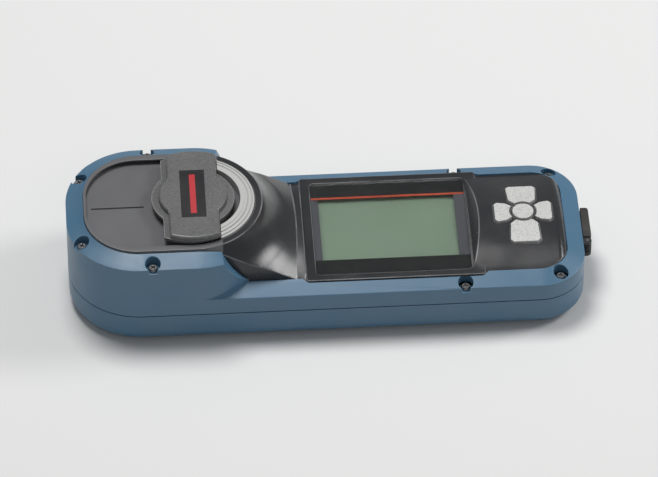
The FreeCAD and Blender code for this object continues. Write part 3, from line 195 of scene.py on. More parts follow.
# %% [markdown]
# ## Painted highlights on the edges
# A rounded edge catches the lamps' light, and here that highlight is painted: the edge is tinted paler.
# The rounded copies made further down mark the faces of their roundings with an attribute named
# rounding. This group reads it, breaks it up with a noise, and tints those faces. On a piece without
# it, nothing changes.

# %% Group: painted edge highlights
edge_highlight, edge_highlight_in, edge_highlight_out = new_group(
    "painted_edge_highlight", {"Color": (0.5, 0.5, 0.5, 1.0), "Edge color": (0.6, 0.6, 0.6, 1.0), "Amount": 0.5},
    {"Color": "NodeSocketColor"})
marked = edge_highlight.nodes.new("ShaderNodeAttribute")
marked.attribute_name = "rounding"
uneven = ramp(edge_highlight, noise(edge_highlight, 60.0, 3.0), 0.25, 0.55)
tinted = math_node(edge_highlight, "MULTIPLY", marked.outputs["Fac"], math_node(
    edge_highlight, "MULTIPLY", uneven, edge_highlight_in.outputs["Amount"]))
# The paler edge colour is a painted highlight on the rounded faces.
edge_highlight.links.new(mixed(edge_highlight, tinted, edge_highlight_in.outputs["Color"], edge_highlight_in.outputs["Edge color"]),
                 edge_highlight_out.inputs["Color"])
print("painted_edge_highlight:", [s.name for s in edge_highlight.interface.items_tree])

# %% [markdown]
# ## One recipe for plastics
# The recipe takes a colour or a set of fleck colours, places the groups, and keeps the Principled
# BSDF and the Bump in the material itself. Values that are the same all over, such as the bump's
# distance, are set on the socket.

# %% Plastic recipe
def place_group(tree, group, **values):
    """A group placed in a tree. An underscore in a value's name stands for a space in the socket's."""
    node = tree.nodes.new("ShaderNodeGroup")
    node.node_tree = group
    for label, value in values.items():
        node.inputs[label.replace("_", " ")].default_value = value
    return node


def plastic(name, color, roughness=0.5, bump=0.00004, grain_scale=2600.0, dust=0.1, fleck=None, edge=None,
            specular=0.5):
    """A moulded plastic. fleck gives (pale, dark, flecks per metre), edge gives (colour, amount) of the
    painted edge highlight.
    """
    material = bpy.data.materials.new(name)
    material.use_nodes = True
    tree = material.node_tree
    shader = tree.nodes["Principled BSDF"]
    surface = place_group(tree, grain, Grain_per_metre=grain_scale, Base_roughness=roughness)
    soil = place_group(tree, handled, Color=(*color, 1.0), Amount=dust)
    if fleck:
        spots = place_group(tree, flecks, Ground=(*color, 1.0), Pale=(*fleck[0], 1.0), Dark=(*fleck[1], 1.0),
                            Flecks_per_metre=fleck[2])
        tree.links.new(spots.outputs["Color"], soil.inputs["Color"])
    finish = soil
    # The edge colour paints a highlight on the rounded edges.
    if edge:
        finish = place_group(tree, edge_highlight, Edge_color=(*edge[0], 1.0), Amount=edge[1])
        tree.links.new(soil.outputs["Color"], finish.inputs["Color"])
    tree.links.new(finish.outputs["Color"], shader.inputs["Base Color"])
    tree.links.new(surface.outputs["Roughness"], shader.inputs["Roughness"])
    height = tree.nodes.new("ShaderNodeBump")
    height.inputs["Distance"].default_value = bump
    height.inputs["Strength"].default_value = 1.0
    tree.links.new(surface.outputs["Height"], height.inputs["Height"])
    tree.links.new(height.outputs["Normal"], shader.inputs["Normal"])
    shader.inputs["Specular IOR Level"].default_value = specular
    return material


print("recipe ready")

# %% [markdown]
# ## The plastics of this instrument
# The shells are a greyed blue and the fascia a glossy charcoal, both fine grained. The shield and the
# keys are speckled. The shells, the fascia and the shield get a painted highlight along their rounded edges.

# %% Plastics
# Each edge pair is the colour and amount of a painted highlight on the rounded edges.
blue = plastic("shell_blue", (0.068, 0.163, 0.262), 0.36, bump=0.00002, dust=0.07,
               edge=((0.13, 0.25, 0.36), 0.6))
charcoal = plastic("fascia_charcoal", (0.026, 0.027, 0.030), 0.24, bump=0.00001, dust=0.05,
                   edge=((0.22, 0.22, 0.225), 0.8))
slate = plastic("shield_slate", (0.130, 0.130, 0.132), 0.36, bump=0.00002,
                fleck=((0.16, 0.16, 0.158), (0.10, 0.10, 0.10), 2200.0), edge=((0.40, 0.40, 0.40), 0.9))
pearl = plastic("ring_pale_grey", (0.50, 0.50, 0.49), 0.40, bump=0.00002, dust=0.06)
key_grey = plastic("key_pale_grey", (0.60, 0.60, 0.59), 0.45, bump=0.00002,
                   fleck=((0.63, 0.63, 0.61), (0.44, 0.44, 0.43), 2200.0))
red_print = plastic("red_print", (0.50, 0.035, 0.045), 0.35, bump=0.00001, dust=0.05)
plate_dark = plastic("label_dark", (0.020, 0.020, 0.022), 0.30, bump=0.00001, dust=0.06)
black = plastic("inner_black", (0.012, 0.012, 0.013), 0.5, dust=0.04)
rubber = plastic("soft_rubber", (0.016, 0.016, 0.017), 0.72, bump=0.00006, grain_scale=1500.0, dust=0.16,
                 specular=0.3)
print("plastics:", [m.name for m in bpy.data.materials])

# %% [markdown]
# ## The bay's satin and its painted sheen
# The bay under the shield is the same moulding as the fascia, but it was left satin, so it is a little
# rougher. Its sheen, the lamp light that the satin reflects, is painted: the colour there is mixed paler.
# A mask in the fascia's own material finds it: above the bay's floor, and either left of the line where
# the crescent starts or within the crescent's circle. The places come from the solids.

# %% Painted sheen on the bay
def span(name, axis):
    """The least and greatest place of a node's corners along one axis."""
    places = [corner.co[axis] for corner in nodes[name].data.vertices]
    return min(places), max(places)


def paint_bay_sheen(material, pale, floor, line, centre, radius):
    """Paints the bay's sheen as a paler colour and roughens it a little: above a height, left of a line or
    within a circle.
    """
    tree = material.node_tree
    shader = tree.nodes["Principled BSDF"]
    place = tree.nodes.new("ShaderNodeTexCoord").outputs["Object"]
    apart = tree.nodes.new("ShaderNodeSeparateXYZ")
    tree.links.new(place, apart.inputs[0])
    high = ramp(tree, apart.outputs["Z"], floor - MM, floor)
    left = ramp(tree, math_node(tree, "MULTIPLY", apart.outputs["X"], -1.0), -line - MM, -line)
    across = math_node(tree, "SUBTRACT", apart.outputs["X"], centre)
    squares = [math_node(tree, "POWER", value, 2.0) for value in (across, apart.outputs["Y"])]
    reach = math_node(tree, "SQRT", math_node(tree, "ADD", *squares), 0.0)
    within = math_node(tree, "LESS_THAN", reach, radius)
    sheen_here = math_node(tree, "MULTIPLY", high, math_node(tree, "MAXIMUM", left, within))
    dark = shader.inputs["Base Color"].links[0].from_socket
    # The mask mixes in the paler colour that paints the satin's sheen.
    tree.links.new(mixed(tree, sheen_here, dark, (*pale, 1.0)), shader.inputs["Base Color"])
    gloss = shader.inputs["Roughness"].links[0].from_socket
    duller = math_node(tree, "ADD", gloss, math_node(tree, "MULTIPLY", sheen_here, 0.12))
    tree.links.new(duller, shader.inputs["Roughness"])


# The colour below is the painted sheen of the satin bay: the lamp light that it reflects.
BAY_SHEEN = (0.130, 0.130, 0.136)
bay_floor = span("sample_well", 2)[1] - 0.2 * MM
ring_start, ring_end = span("well_ring", 0)
well_centre = sum(span("sample_well", 0)) / 2
ring_radius = ring_end - well_centre
paint_bay_sheen(charcoal, BAY_SHEEN, bay_floor, ring_start, well_centre, ring_radius)
print("bay finish within", round(ring_radius / MM, 1), "mm of the well")

# %% [markdown]
# ## Which piece gets which finish
# Seals, feet and the socket's cover are rubber. What lies inside is plain black, as inner mouldings
# are, so that no stray light reaches the well. A piece that a finer copy replaces further down gets
# its finish there again.

# %% Assign them
finishes = {
    "bottom_housing": blue, "top_housing": blue, "battery_door": blue, "fascia": charcoal,
    "light_shield": slate, "shield_skirt": slate, "well_ring": pearl, "port_cover": rubber,
    "housing_gasket": rubber, "base_feet": rubber, "shield_seal": rubber, "well_seal": rubber,
    "display_gasket": rubber, "sample_well": black, "optical_block": black,
    "lcd_frame": black, "key_switches": black, "board_chips": black, "battery_tray": black,
    "shield_runners": black, "shield_label": plate_dark, "label_stripe": red_print, "cover_ears": black,
}
KEYS = ("key_up", "key_down", "key_left", "key_right", "key_ok")
for key in KEYS:
    finishes[key] = key_grey


def dress(piece, material):
    piece.data.materials.clear()
    piece.data.materials.append(material)


for name, material in finishes.items():
    dress(nodes[name], material)
print(len(finishes), "nodes dressed")

# %% [markdown]
# ## Metals
# The screws, the pin and the contacts are plated steel, and the posts under the keypad's board are
# turned brass. A noise that is stretched along one axis gives the faint lines that turning leaves.
# It changes the roughness and the tint together, because a rougher line is also a duller one.

# %% Steel and brass
def metal(name, color, roughness, scale=(900.0, 60.0, 900.0)):
    material = bpy.data.materials.new(name)
    material.use_nodes = True
    tree = material.node_tree
    shader = tree.nodes["Principled BSDF"]
    shader.inputs["Metallic"].default_value = 1.0
    streaks = noise(tree, 1.0, 3.0, stretch=scale)
    node = tree.nodes.new("ShaderNodeMapRange")
    node.inputs["To Min"].default_value = roughness - 0.08
    node.inputs["To Max"].default_value = roughness + 0.12
    tree.links.new(streaks, node.inputs["Value"])
    tree.links.new(node.outputs[0], shader.inputs["Roughness"])
    tint = mixed(tree, streaks, (*[c * 0.88 for c in color], 1.0), (*color, 1.0))
    tree.links.new(tint, shader.inputs["Base Color"])
    return material


steel = metal("plated_steel", (0.23, 0.23, 0.235), 0.42)
brass = metal("turned_brass", (0.62, 0.46, 0.20), 0.32)
for name in ("contact_plates", "port_socket", "port_pin", "detent_ball", "case_screws", "shield_screws",
             "door_screws", "contact_springs", "detent_spring"):
    dress(nodes[name], steel)
dress(nodes["board_posts"], brass)
print("metals:", steel.name, brass.name)


# %% [markdown]
# ## Clear pieces
# The display's window and the well's two lenses let light through. The window is handled, so its
# gloss is a little softer than that of the lenses, which sit deep in the well's wall.

# %% Window and lenses
def clear(name, color, roughness):
    material = bpy.data.materials.new(name)
    material.use_nodes = True
    tree = material.node_tree
    shader = tree.nodes["Principled BSDF"]
    shader.inputs["Base Color"].default_value = (*color, 1.0)
    shader.inputs["Transmission Weight"].default_value = 1.0
    shader.inputs["IOR"].default_value = 1.47
    smears = place_group(tree, grain, Grain_per_metre=400.0, Base_roughness=roughness, Roughness_change=0.03)
    tree.links.new(smears.outputs["Roughness"], shader.inputs["Roughness"])
    return material


window_clear = clear("window_clear", (0.97, 0.99, 0.98), 0.05)
lens_clear = clear("lens_clear", (0.95, 0.98, 0.99), 0.02)
dress(nodes["display_window"], window_clear)
dress(nodes["well_windows"], lens_clear)
print("clear:", window_clear.name, lens_clear.name)

# %% [markdown]
# ## Boards, light guide and cells
# These lie inside and show only when the instrument is taken apart, so plain plastics will do.

# %% Inner parts
board_green = plastic("board_green", (0.015, 0.13, 0.055), 0.3, bump=0.00001, dust=0.02)
for name in ("main_board", "keypad_board", "emitter_board", "detector_board"):
    dress(nodes[name], board_green)
guide_white = plastic("guide_white", (0.72, 0.75, 0.70), 0.4, bump=0.00001, dust=0.02)
dress(nodes["lcd_backlight"], guide_white)
sleeve = plastic("cell_sleeve", (0.03, 0.035, 0.04), 0.25, bump=0.00001, dust=0.02)
dress(nodes["battery_cells"], sleeve)
print("inner:", board_green.name, guide_white.name, sleeve.name)

# %% [markdown]
# ## The display's sheet
# The display is a reflective one: a grey-green sheet on which a fine grid of square cells is just
# visible. The grid is worked out from Object coordinates, so the cells stay square at any size.

# %% Panel
CELL_SHARE = 0.86


def display_material(color, line, pitch):
    """The panel's sheet: a faint grid of square cells, one every pitch metres."""
    material = bpy.data.materials.new("display_panel")
    material.use_nodes = True
    tree = material.node_tree
    shader = tree.nodes["Principled BSDF"]
    place = tree.nodes.new("ShaderNodeSeparateXYZ")
    tree.links.new(tree.nodes.new("ShaderNodeTexCoord").outputs["Object"], place.inputs[0])
    edges = []
    for axis in (0, 1):
        steps = math_node(tree, "MULTIPLY", place.outputs[axis], 1.0 / pitch)
        edges.append(math_node(tree, "GREATER_THAN", math_node(tree, "FRACT", steps, 0.0), CELL_SHARE))
    grid = math_node(tree, "MAXIMUM", *edges)
    cell = mixed(tree, grid, (*color, 1.0), (*line, 1.0))
    soft = place_group(tree, handled, Dust=(0.32, 0.40, 0.33, 1.0), Amount=0.35)
    tree.links.new(cell, soft.inputs["Color"])
    tree.links.new(soft.outputs["Color"], shader.inputs["Base Color"])
    shader.inputs["Roughness"].default_value = 0.38
    return material


panel = display_material((0.285, 0.385, 0.275), (0.26, 0.355, 0.25), 0.5 * MM)
dress(nodes["lcd_panel"], panel)
print("display:", panel.name)

# %% [markdown]
# ## The print under the window
# A printed sheet lies between the window and the display. It is black above and below the view and
# dark grey beside it, and one thin red line runs along its upper edge. One material draws all of it
# from the height across the sheet, so no separate strips have to be laid on each other.

# %% Printed sheet's material
def print_material(name, dark, side, line, half_width, line_width):
    """Print under the window: dark above and below the view, grey beside it, one line above it."""
    material = bpy.data.materials.new(name)
    material.use_nodes = True
    tree = material.node_tree
    shader = tree.nodes["Principled BSDF"]
    place = tree.nodes.new("ShaderNodeSeparateXYZ")
    tree.links.new(tree.nodes.new("ShaderNodeTexCoord").outputs["Object"], place.inputs[0])
    across = place.outputs["Y"]
    beside = math_node(tree, "LESS_THAN", math_node(tree, "ABSOLUTE", across, 0.0), half_width)
    above = math_node(tree, "MULTIPLY", math_node(tree, "GREATER_THAN", across, half_width),
                      math_node(tree, "LESS_THAN", across, half_width + line_width))
    sides = mixed(tree, beside, (*dark, 1.0), (*side, 1.0))
    lined = mixed(tree, above, sides, (*line, 1.0))
    soil = place_group(tree, handled, Amount=0.02)
    tree.links.new(lined, soil.inputs["Color"])
    tree.links.new(soil.outputs["Color"], shader.inputs["Base Color"])
    shader.inputs["Roughness"].default_value = 0.55
    shader.inputs["Specular IOR Level"].default_value = 0.2
    return material


LINE_WIDTH = 1.4 * MM
view_half = min(abs(corner.co.y) for corner in nodes["display_mask"].data.vertices)
window_print = print_material("window_print", (0.004, 0.004, 0.005), (0.105, 0.105, 0.125),
                              (0.62, 0.085, 0.03), view_half, LINE_WIDTH)
print("view is", round(view_half * 2 / MM, 1), "mm high")

# %% [markdown]
# ## Soft edges
# The solids have sharp edges where a mould has a small radius, and a sharp edge catches no light.
# Each moulded piece therefore gets a merged copy: doubles go, flat areas are cut into fewer and
# rounder triangles, and a bevel rounds the sharp edges. A bevel on a large face with a hole in it
# can close the hole, so the faces are triangles before it runs. The copy stands in for the solid.

# %% Copies and stand-ins
SAME_PLACE = 0.002 * MM
SMALLEST = 0.005 * MM
FLAT = math.radians(0.05)
SHARP = math.radians(25)
CREASE = math.radians(35)


def fused(name):
    """The node's triangles joined at their corners, as a bmesh."""
    work = bmesh.new()
    work.from_mesh(nodes[name].data)
    bmesh.ops.remove_doubles(work, verts=work.verts, dist=SAME_PLACE)
    return work


def stand_in(name, mesh, material, body):
    """Puts a finished mesh in a node's place, riding on the same body."""
    mesh.materials.clear()
    mesh.materials.append(material)
    piece = bpy.data.objects.new(name + "_form", mesh)
    bpy.context.collection.objects.link(piece)
    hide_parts(name)
    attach(piece, body)
    return piece


def even_light(name, mesh):
    """Weights each corner's normal by the size of its faces, so that flat faces stay flat in light."""
    holder = bpy.data.objects.new(name + "_holder", mesh)
    bpy.context.collection.objects.link(holder)
    holder.modifiers.new("even_light", "WEIGHTED_NORMAL").keep_sharp = True
    graph = bpy.context.evaluated_depsgraph_get()
    evened = bpy.data.meshes.new_from_object(holder.evaluated_get(graph), depsgraph=graph)
    bpy.data.objects.remove(holder)
    return evened


print("copy helpers ready")

# %% [markdown]
# ## The rounding itself
# The bevel marks its new faces with the attribute that the painted edge highlight reads. Afterwards the
# corners are held inside the node's own box, tiny faces go, and edges that still bend sharply stay creased.

# %% Helpers for the rounding
def bends(edge, least):
    """True where an edge joins two faces at more than an angle."""
    return len(edge.link_faces) == 2 and edge.calc_face_angle(0.0) > least


def cleaned(work, box):
    """Holds every corner inside a box, then removes faces that are too small to see."""
    for vertex in work.verts:
        vertex.co = [min(max(value, low), high) for value, (low, high) in zip(vertex.co, box)]
    bmesh.ops.remove_doubles(work, verts=work.verts, dist=SMALLEST)
    bmesh.ops.dissolve_degenerate(work, edges=work.edges, dist=SMALLEST)
    bmesh.ops.triangulate(work, faces=[f for f in work.faces if len(f.verts) > 4])


print("edges bend when over", round(math.degrees(SHARP)), "degrees")

# %% [markdown]
# ## One function for every rounded piece
# A Bevel modifier would round every sharp edge alike. The bevel of bmesh takes a list of edges
# instead, so one function can round whole small pieces and only the outside of large ones.

# %% Round a piece
def round_edges(name, width, material, body, chosen):
    """A copy of a node with its chosen sharp edges rounded takes the node's place."""
    work = fused(name)
    box = [span(name, axis) for axis in range(3)]
    bmesh.ops.dissolve_limit(work, angle_limit=FLAT, verts=work.verts, edges=work.edges)
    bmesh.ops.triangulate(work, faces=work.faces[:])
    edges = [e for e in work.edges if bends(e, SHARP) and chosen((e.verts[0].co + e.verts[1].co) / 2)]
    rounding = work.faces.layers.float.new("rounding")
    made = bmesh.ops.bevel(work, geom=edges, offset=width * MM, offset_type="OFFSET", segments=2,
                           profile=0.6, affect="EDGES", clamp_overlap=False)
    # These marked faces later get the painted edge highlight.
    for face in made["faces"]:
        face[rounding] = 1.0
    cleaned(work, box)
    for face in work.faces:
        face.smooth = True
    for edge in work.edges:
        edge.smooth = not bends(edge, CREASE)
    mesh = bpy.data.meshes.new(name + "_form")
    work.to_mesh(mesh)
    work.free()
    return stand_in(name, even_light(name, mesh), material, body)


print("rounding ready, creases stay over", round(math.degrees(CREASE)), "degrees")

# %% [markdown]
# ## Which edges are rounded
# The large mouldings have many edges inside that nobody sees. Rounding them would only add faces, so
# each large piece has a small test that says whether an edge, by its middle, is one to round.

# %% Tests for edges
RIM = 9.5 * MM
SEAT = 31.6 * MM
SEAM_HALF = 2 * MM
LABEL_MARGIN = 0.5 * MM
outer_wall = [span("top_housing", axis) for axis in (0, 1)]
label_seat = [span("shield_label", axis) for axis in (0, 1)]


def within(middle, box, margin):
    """True where a place is inside a flat box that grows by a margin on all sides."""
    return all(low - margin < value < high + margin for value, (low, high) in zip(middle, box))


def on_shell(lowest):
    """A test for the strip along the housing's outer wall, above a height."""
    return lambda middle: middle.z > lowest * MM and not within(middle, outer_wall, -RIM)


def on_fascia(middle):
    """True above the fascia's seat, but not at the fine seam along the middle of the bay."""
    seam = abs(middle.y) < SEAM_HALF and middle.x < ring_start
    return middle.z > SEAT and not seam


def off_label(middle):
    """True away from the shallow seat that the shield has for its label."""
    return not within(middle, label_seat, LABEL_MARGIN)


def anywhere(middle):
    """The test for small pieces, which are rounded all over."""
    return True


print("label seat in mm:", [[round(end / MM, 1) for end in side] for side in label_seat])

# %% [markdown]
# ## Round them
# A thick moulding can take a larger radius than a thin plate. Each row gives a radius in millimetres,
# the finish, the body that the piece rides on and the test for its edges.

# %% Round them
rounded = {
    **{key: (0.35, key_grey, key, anywhere) for key in KEYS},
    "fascia": (0.4, charcoal, "body", on_fascia),
    "light_shield": (0.35, slate, "light_shield", off_label),
    "top_housing": (0.25, blue, "body", on_shell(24)),
    "bottom_housing": (0.25, blue, "body", on_shell(0.5)),
    "well_ring": (0.25, pearl, "body", anywhere),
    "shield_skirt": (0.2, slate, "light_shield", anywhere),
    "port_cover": (0.4, rubber, "port_cover", anywhere),
    "shield_label": (0.1, plate_dark, "light_shield", anywhere),
    "battery_door": (0.3, blue, "body", anywhere),
    "cover_ears": (0.15, black, "body", anywhere),
    "shield_runners": (0.12, black, "light_shield", anywhere),
}
for name, (radius, material, body, test) in rounded.items():
    round_edges(name, radius, material, body, test)
print("rounded pieces:", len(rounded))

# %% [markdown]
# ## A sheet that must not touch the glass
# The printed sheet lies against the window in the solids. Two surfaces in one place confuse the
# light that passes through, so the sheet's copy has its upper face lowered by a hair.

# %% Printed sheet
HAIR = 0.06 * MM
work = fused("display_mask")
top = span("display_mask", 2)[1]
for vertex in work.verts:
    if vertex.co.z > top - HAIR:
        vertex.co.z -= HAIR
mesh = bpy.data.meshes.new("display_mask_form")
work.to_mesh(mesh)
work.free()
stand_in("display_mask", mesh, window_print, "body")
print("printed sheet lowered by", round(HAIR / MM, 2), "mm")

# %% [markdown]
# ## Small parts from Geometry Nodes
# Screws, springs and feet follow a rule, so each is described once as a tree of nodes with named
# inputs and set down on points. The points are read from the solids, one for every separate solid of
# a node.

# %% Read the points
def solids_of(name):
    """The box of each separate solid in a node, as (low corner, high corner)."""
    work = fused(name)
    seen, boxes = set(), []
    for start in work.verts:
        if start in seen:
            continue
        seen.add(start)
        queue, found = [start], []
        while queue:
            vertex = queue.pop()
            found.append(vertex.co.copy())
            for edge in vertex.link_edges:
                other = edge.other_vert(vertex)
                if other not in seen:
                    seen.add(other)
                    queue.append(other)
        boxes.append(tuple(Vector(pick(c[i] for c in found) for i in range(3)) for pick in (min, max)))
    work.free()
    return boxes


for name in ("case_screws", "door_screws", "shield_screws", "detent_spring", "base_feet"):
    print(name, [[round(v / MM, 1) for corner in box for v in corner] for box in solids_of(name)][:2])

# %% [markdown]
# ## Helpers for the trees
# Building a tree in code takes many links. A few short helpers make a node, set or link its inputs by
# name and hand back its output, so that a tree reads like the thing that it makes.

# %% Tree helpers
def new_tree(name, inputs):
    """A Geometry Nodes tree: geometry in, named inputs, geometry out."""
    tree = bpy.data.node_groups.new(name, "GeometryNodeTree")
    tree.is_modifier = True
    tree.interface.new_socket("Points", in_out="INPUT", socket_type="NodeSocketGeometry")
    for label, default in inputs.items():
        kind = "NodeSocketInt" if isinstance(default, int) else "NodeSocketFloat"
        if isinstance(default, bpy.types.Material):
            kind = "NodeSocketMaterial"
        tree.interface.new_socket(label, in_out="INPUT", socket_type=kind).default_value = default
    tree.interface.new_socket("Geometry", in_out="OUTPUT", socket_type="NodeSocketGeometry")
    return tree, tree.nodes.new("NodeGroupInput").outputs


def add(tree, kind, inputs, **settings):
    """A node with its settings made and its inputs linked or set, by name."""
    node = tree.nodes.new(kind)
    for label, value in settings.items():
        setattr(node, label, value)
    for label, value in inputs.items():
        if isinstance(value, bpy.types.NodeSocket):
            tree.links.new(value, node.inputs[label])
        else:
            node.inputs[label].default_value = value
    return node


print("trees can be started")

# %% [markdown]
# ## Short names for common nodes
# Sums, vectors, moves and joins come back all the time in a tree. Each gets a short helper that hands
# back the output, so that one line can use another line's result.

# %% Short helpers
def calc(tree, operation, first, second):
    """A sum, product or difference of two numbers or sockets."""
    return add(tree, "ShaderNodeMath", {0: first, 1: second}, operation=operation).outputs[0]


def vector(tree, x=0.0, y=0.0, z=0.0):
    """A vector from three numbers or sockets."""
    return add(tree, "ShaderNodeCombineXYZ", {"X": x, "Y": y, "Z": z}).outputs[0]


def moved(tree, geometry, offset):
    """The geometry, moved by a vector."""
    return add(tree, "GeometryNodeTransform", {"Geometry": geometry, "Translation": offset}).outputs[0]


def joined(tree, *parts):
    """Several geometries as one."""
    node = tree.nodes.new("GeometryNodeJoinGeometry")
    for part in parts:
        tree.links.new(part, node.inputs[0])
    return node.outputs[0]


print("short helpers ready")

# %% [markdown]
# ## How a tree ends
# Every tree ends alike. Its copies become real mesh, round walls are shaded smooth while sharp
# corners stay crisp, and the mesh gets its finish.

# %% Close a tree
BENT = 0.6  # radians between two faces above which the edge stays crisp


def close_tree(tree, geometry, material):
    """Makes the instances real, shades them smooth between sharp edges and gives them a material."""
    real = add(tree, "GeometryNodeRealizeInstances", {"Geometry": geometry}).outputs[0]
    smooth = add(tree, "GeometryNodeSetShadeSmooth", {"Geometry": real}, domain="FACE").outputs[0]
    angle = tree.nodes.new("GeometryNodeInputMeshEdgeAngle").outputs[0]
    bent = add(tree, "FunctionNodeCompare", {0: angle, 1: BENT}, operation="GREATER_THAN").outputs[0]
    creased = add(tree, "GeometryNodeSetShadeSmooth",
                  {"Geometry": smooth, "Selection": bent, "Shade Smooth": False}, domain="EDGE").outputs[0]
    dressed = add(tree, "GeometryNodeSetMaterial", {"Geometry": creased, "Material": material}).outputs[0]
    add(tree, "NodeGroupOutput", {"Geometry": dressed})


print("crisp above", round(math.degrees(BENT)), "degrees")

# %% [markdown]
# ## Run a tree on points
# A Geometry Nodes modifier could stay on its object, but a plain mesh is safer for other programs. So
# the tree runs once on a mesh of loose points, and its evaluated result is kept.

# %% Grow helper
def grow(name, tree, points, values, **fields):
    """Runs a tree on points that carry numbers, and gives back a plain mesh."""
    source = bpy.data.meshes.new(name + "_points")
    source.from_pydata(points, [], [])
    for label, numbers in fields.items():
        source.attributes.new(label, "FLOAT", "POINT").data.foreach_set("value", numbers)
    holder = bpy.data.objects.new(name + "_points", source)
    bpy.context.collection.objects.link(holder)
    modifier = holder.modifiers.new("grow", "NODES")
    modifier.node_group = tree
    for item in tree.interface.items_tree:
        if item.in_out == "INPUT" and item.name in values:
            modifier[item.identifier] = values[item.name]
    graph = bpy.context.evaluated_depsgraph_get()
    mesh = bpy.data.meshes.new_from_object(holder.evaluated_get(graph), depsgraph=graph)
    holder.modifiers.clear()
    bpy.data.objects.remove(holder)
    return mesh


print("trees can be run")

# %% [markdown]
# ## Screws
# A pan head is a short cylinder whose top face is extruded a little and shrunk, which leaves a
# sloped edge. Two crossed blocks are cut out of it for the driver. The shank hangs below and takes
# its length from the point, because the screws in the raised head are longer than the others. With
# Facing at -1 the whole screw is turned over, for those that go in from below.

# %% Tree: screw set
screws, given = new_tree("screw_set", {
    "Head radius": 2.4 * MM, "Head height": 1.8 * MM, "Shank radius": 1.2 * MM, "Slot width": 0.7 * MM,
    "Slot length": 2.9 * MM, "Slot depth": 1.0 * MM, "Facing": 1.0, "Seed": 7, "Finish": steel})
low_part = calc(screws, "MULTIPLY", given["Head height"], 0.6)
slope = calc(screws, "MULTIPLY", given["Head height"], 0.4)
drum = add(screws, "GeometryNodeMeshCylinder", {
    "Vertices": 40, "Radius": given["Head radius"], "Depth": low_part})
raised = add(screws, "GeometryNodeExtrudeMesh", {
    "Mesh": drum.outputs["Mesh"], "Selection": drum.outputs["Top"], "Offset Scale": slope}, mode="FACES")
shrunk = add(screws, "GeometryNodeScaleElements", {
    "Geometry": raised.outputs["Mesh"], "Selection": raised.outputs["Top"], "Scale": 0.78}, domain="FACE")
drop = calc(screws, "SUBTRACT", calc(screws, "MULTIPLY", low_part, 0.5), given["Head height"])
head = moved(screws, shrunk.outputs[0], vector(screws, z=drop))
print("head of the screw ready")

# %% [markdown]
# ## The cross for the driver
# A cross-shaped driver fits these heads. Two flat bars at right angles are joined and cut out of
# the head, which leaves the cross as a real recess that catches shadow.

# %% Tree: the driver's cross
double = calc(screws, "MULTIPLY", given["Slot depth"], 2.0)
bars = [add(screws, "GeometryNodeMeshCube", {
    "Size": vector(screws, given[first], given[second], double)}).outputs[0]
        for first, second in (("Slot width", "Slot length"), ("Slot length", "Slot width"))]
cross = add(screws, "GeometryNodeMeshBoolean", {}, operation="UNION", solver="EXACT")
for bar in bars:
    screws.links.new(bar, cross.inputs["Mesh 2"])
slotted = add(screws, "GeometryNodeMeshBoolean", {"Mesh 1": head, "Mesh 2": cross.outputs[0]},
              operation="DIFFERENCE", solver="EXACT").outputs[0]
print("cross of", len(bars), "bars cut")

# %% [markdown]
# ## Shanks, and a copy on every point
# Each shank is as long as its own solid, so the length comes with the point as an attribute. Every
# head gets its own turn from a seeded random value, because no one lines screws up by hand. A
# facing of minus one turns a screw over.

# %% Tree: shanks, and all set on the points
SUNK = 0.9  # the share of the head's height at which the shank starts
shank = add(screws, "GeometryNodeMeshCylinder", {
    "Vertices": 20, "Radius": given["Shank radius"], "Depth": 1.0})
hung = moved(screws, shank.outputs["Mesh"], vector(screws, z=-0.5))
length = add(screws, "GeometryNodeInputNamedAttribute", {"Name": "length"}, data_type="FLOAT").outputs[0]
spin = add(screws, "FunctionNodeRandomValue", {2: 0.0, 3: 3.14, "Seed": given["Seed"]},
           data_type="FLOAT").outputs[1]
over = calc(screws, "MULTIPLY", calc(screws, "SUBTRACT", 1.0, given["Facing"]), math.pi / 2)
heads = add(screws, "GeometryNodeInstanceOnPoints", {
    "Points": given["Points"], "Instance": slotted, "Rotation": vector(screws, x=over, z=spin)}).outputs[0]
depth = calc(screws, "MULTIPLY", calc(screws, "MULTIPLY", given["Head height"], -SUNK), given["Facing"])
lowered = add(screws, "GeometryNodeSetPosition", {
    "Geometry": given["Points"], "Offset": vector(screws, z=depth)}).outputs[0]
shanks = add(screws, "GeometryNodeInstanceOnPoints", {
    "Points": lowered, "Instance": hung, "Rotation": vector(screws, x=over),
    "Scale": vector(screws, 1.0, 1.0, length)}).outputs[0]
close_tree(screws, joined(screws, heads, shanks), given["Finish"])
print("screw inputs:", [item.name for item in screws.interface.items_tree])

# %% [markdown]
# ## Three sets of screws
# Eight pan heads hold the case, two smaller ones hold the shield from below, and the battery door has
# two headless ones. All come from the one tree, with other sizes.

# %% Set the screws
def ends_of(boxes, facing):
    """The middle of each box's upper end, or of its lower end where the screw faces down."""
    return [((low.x + high.x) / 2, (low.y + high.y) / 2, high.z if facing > 0 else low.z)
            for low, high in boxes]


def set_screws(name, body, facing, sizes):
    """Puts a screw in each solid of a node. sizes are the tree's inputs in millimetres."""
    boxes = solids_of(name)
    lengths = [high.z - low.z - SUNK * sizes["Head height"] * MM for low, high in boxes]
    values = {label: value * MM for label, value in sizes.items()}
    values.update({"Facing": facing, "Finish": steel})
    mesh = grow(name, screws, ends_of(boxes, facing), values, length=lengths)
    stand_in(name, mesh, steel, body)
    print(name, "set:", len(boxes))


UP, DOWN = 1.0, -1.0
set_screws("case_screws", "body", UP, {"Head height": 1.8})
set_screws("shield_screws", "light_shield", DOWN, {
    "Head radius": 1.92, "Head height": 1.2, "Slot width": 0.55, "Slot length": 2.3, "Slot depth": 0.7})
set_screws("door_screws", "body", DOWN, {
    "Head radius": 1.2, "Head height": 1.0, "Shank radius": 1.17, "Slot width": 0.4, "Slot length": 1.5,
    "Slot depth": 0.7})

# %% [markdown]
# ## The detent's spring
# The ball under the shield is pressed down by a small straight coil spring. The solid that keeps
# its place is a plain rod, so the tree draws a spiral inside that rod's box and sweeps a small
# circle along it. Both ends stay half a wire inside the box, so nothing stands out of it.

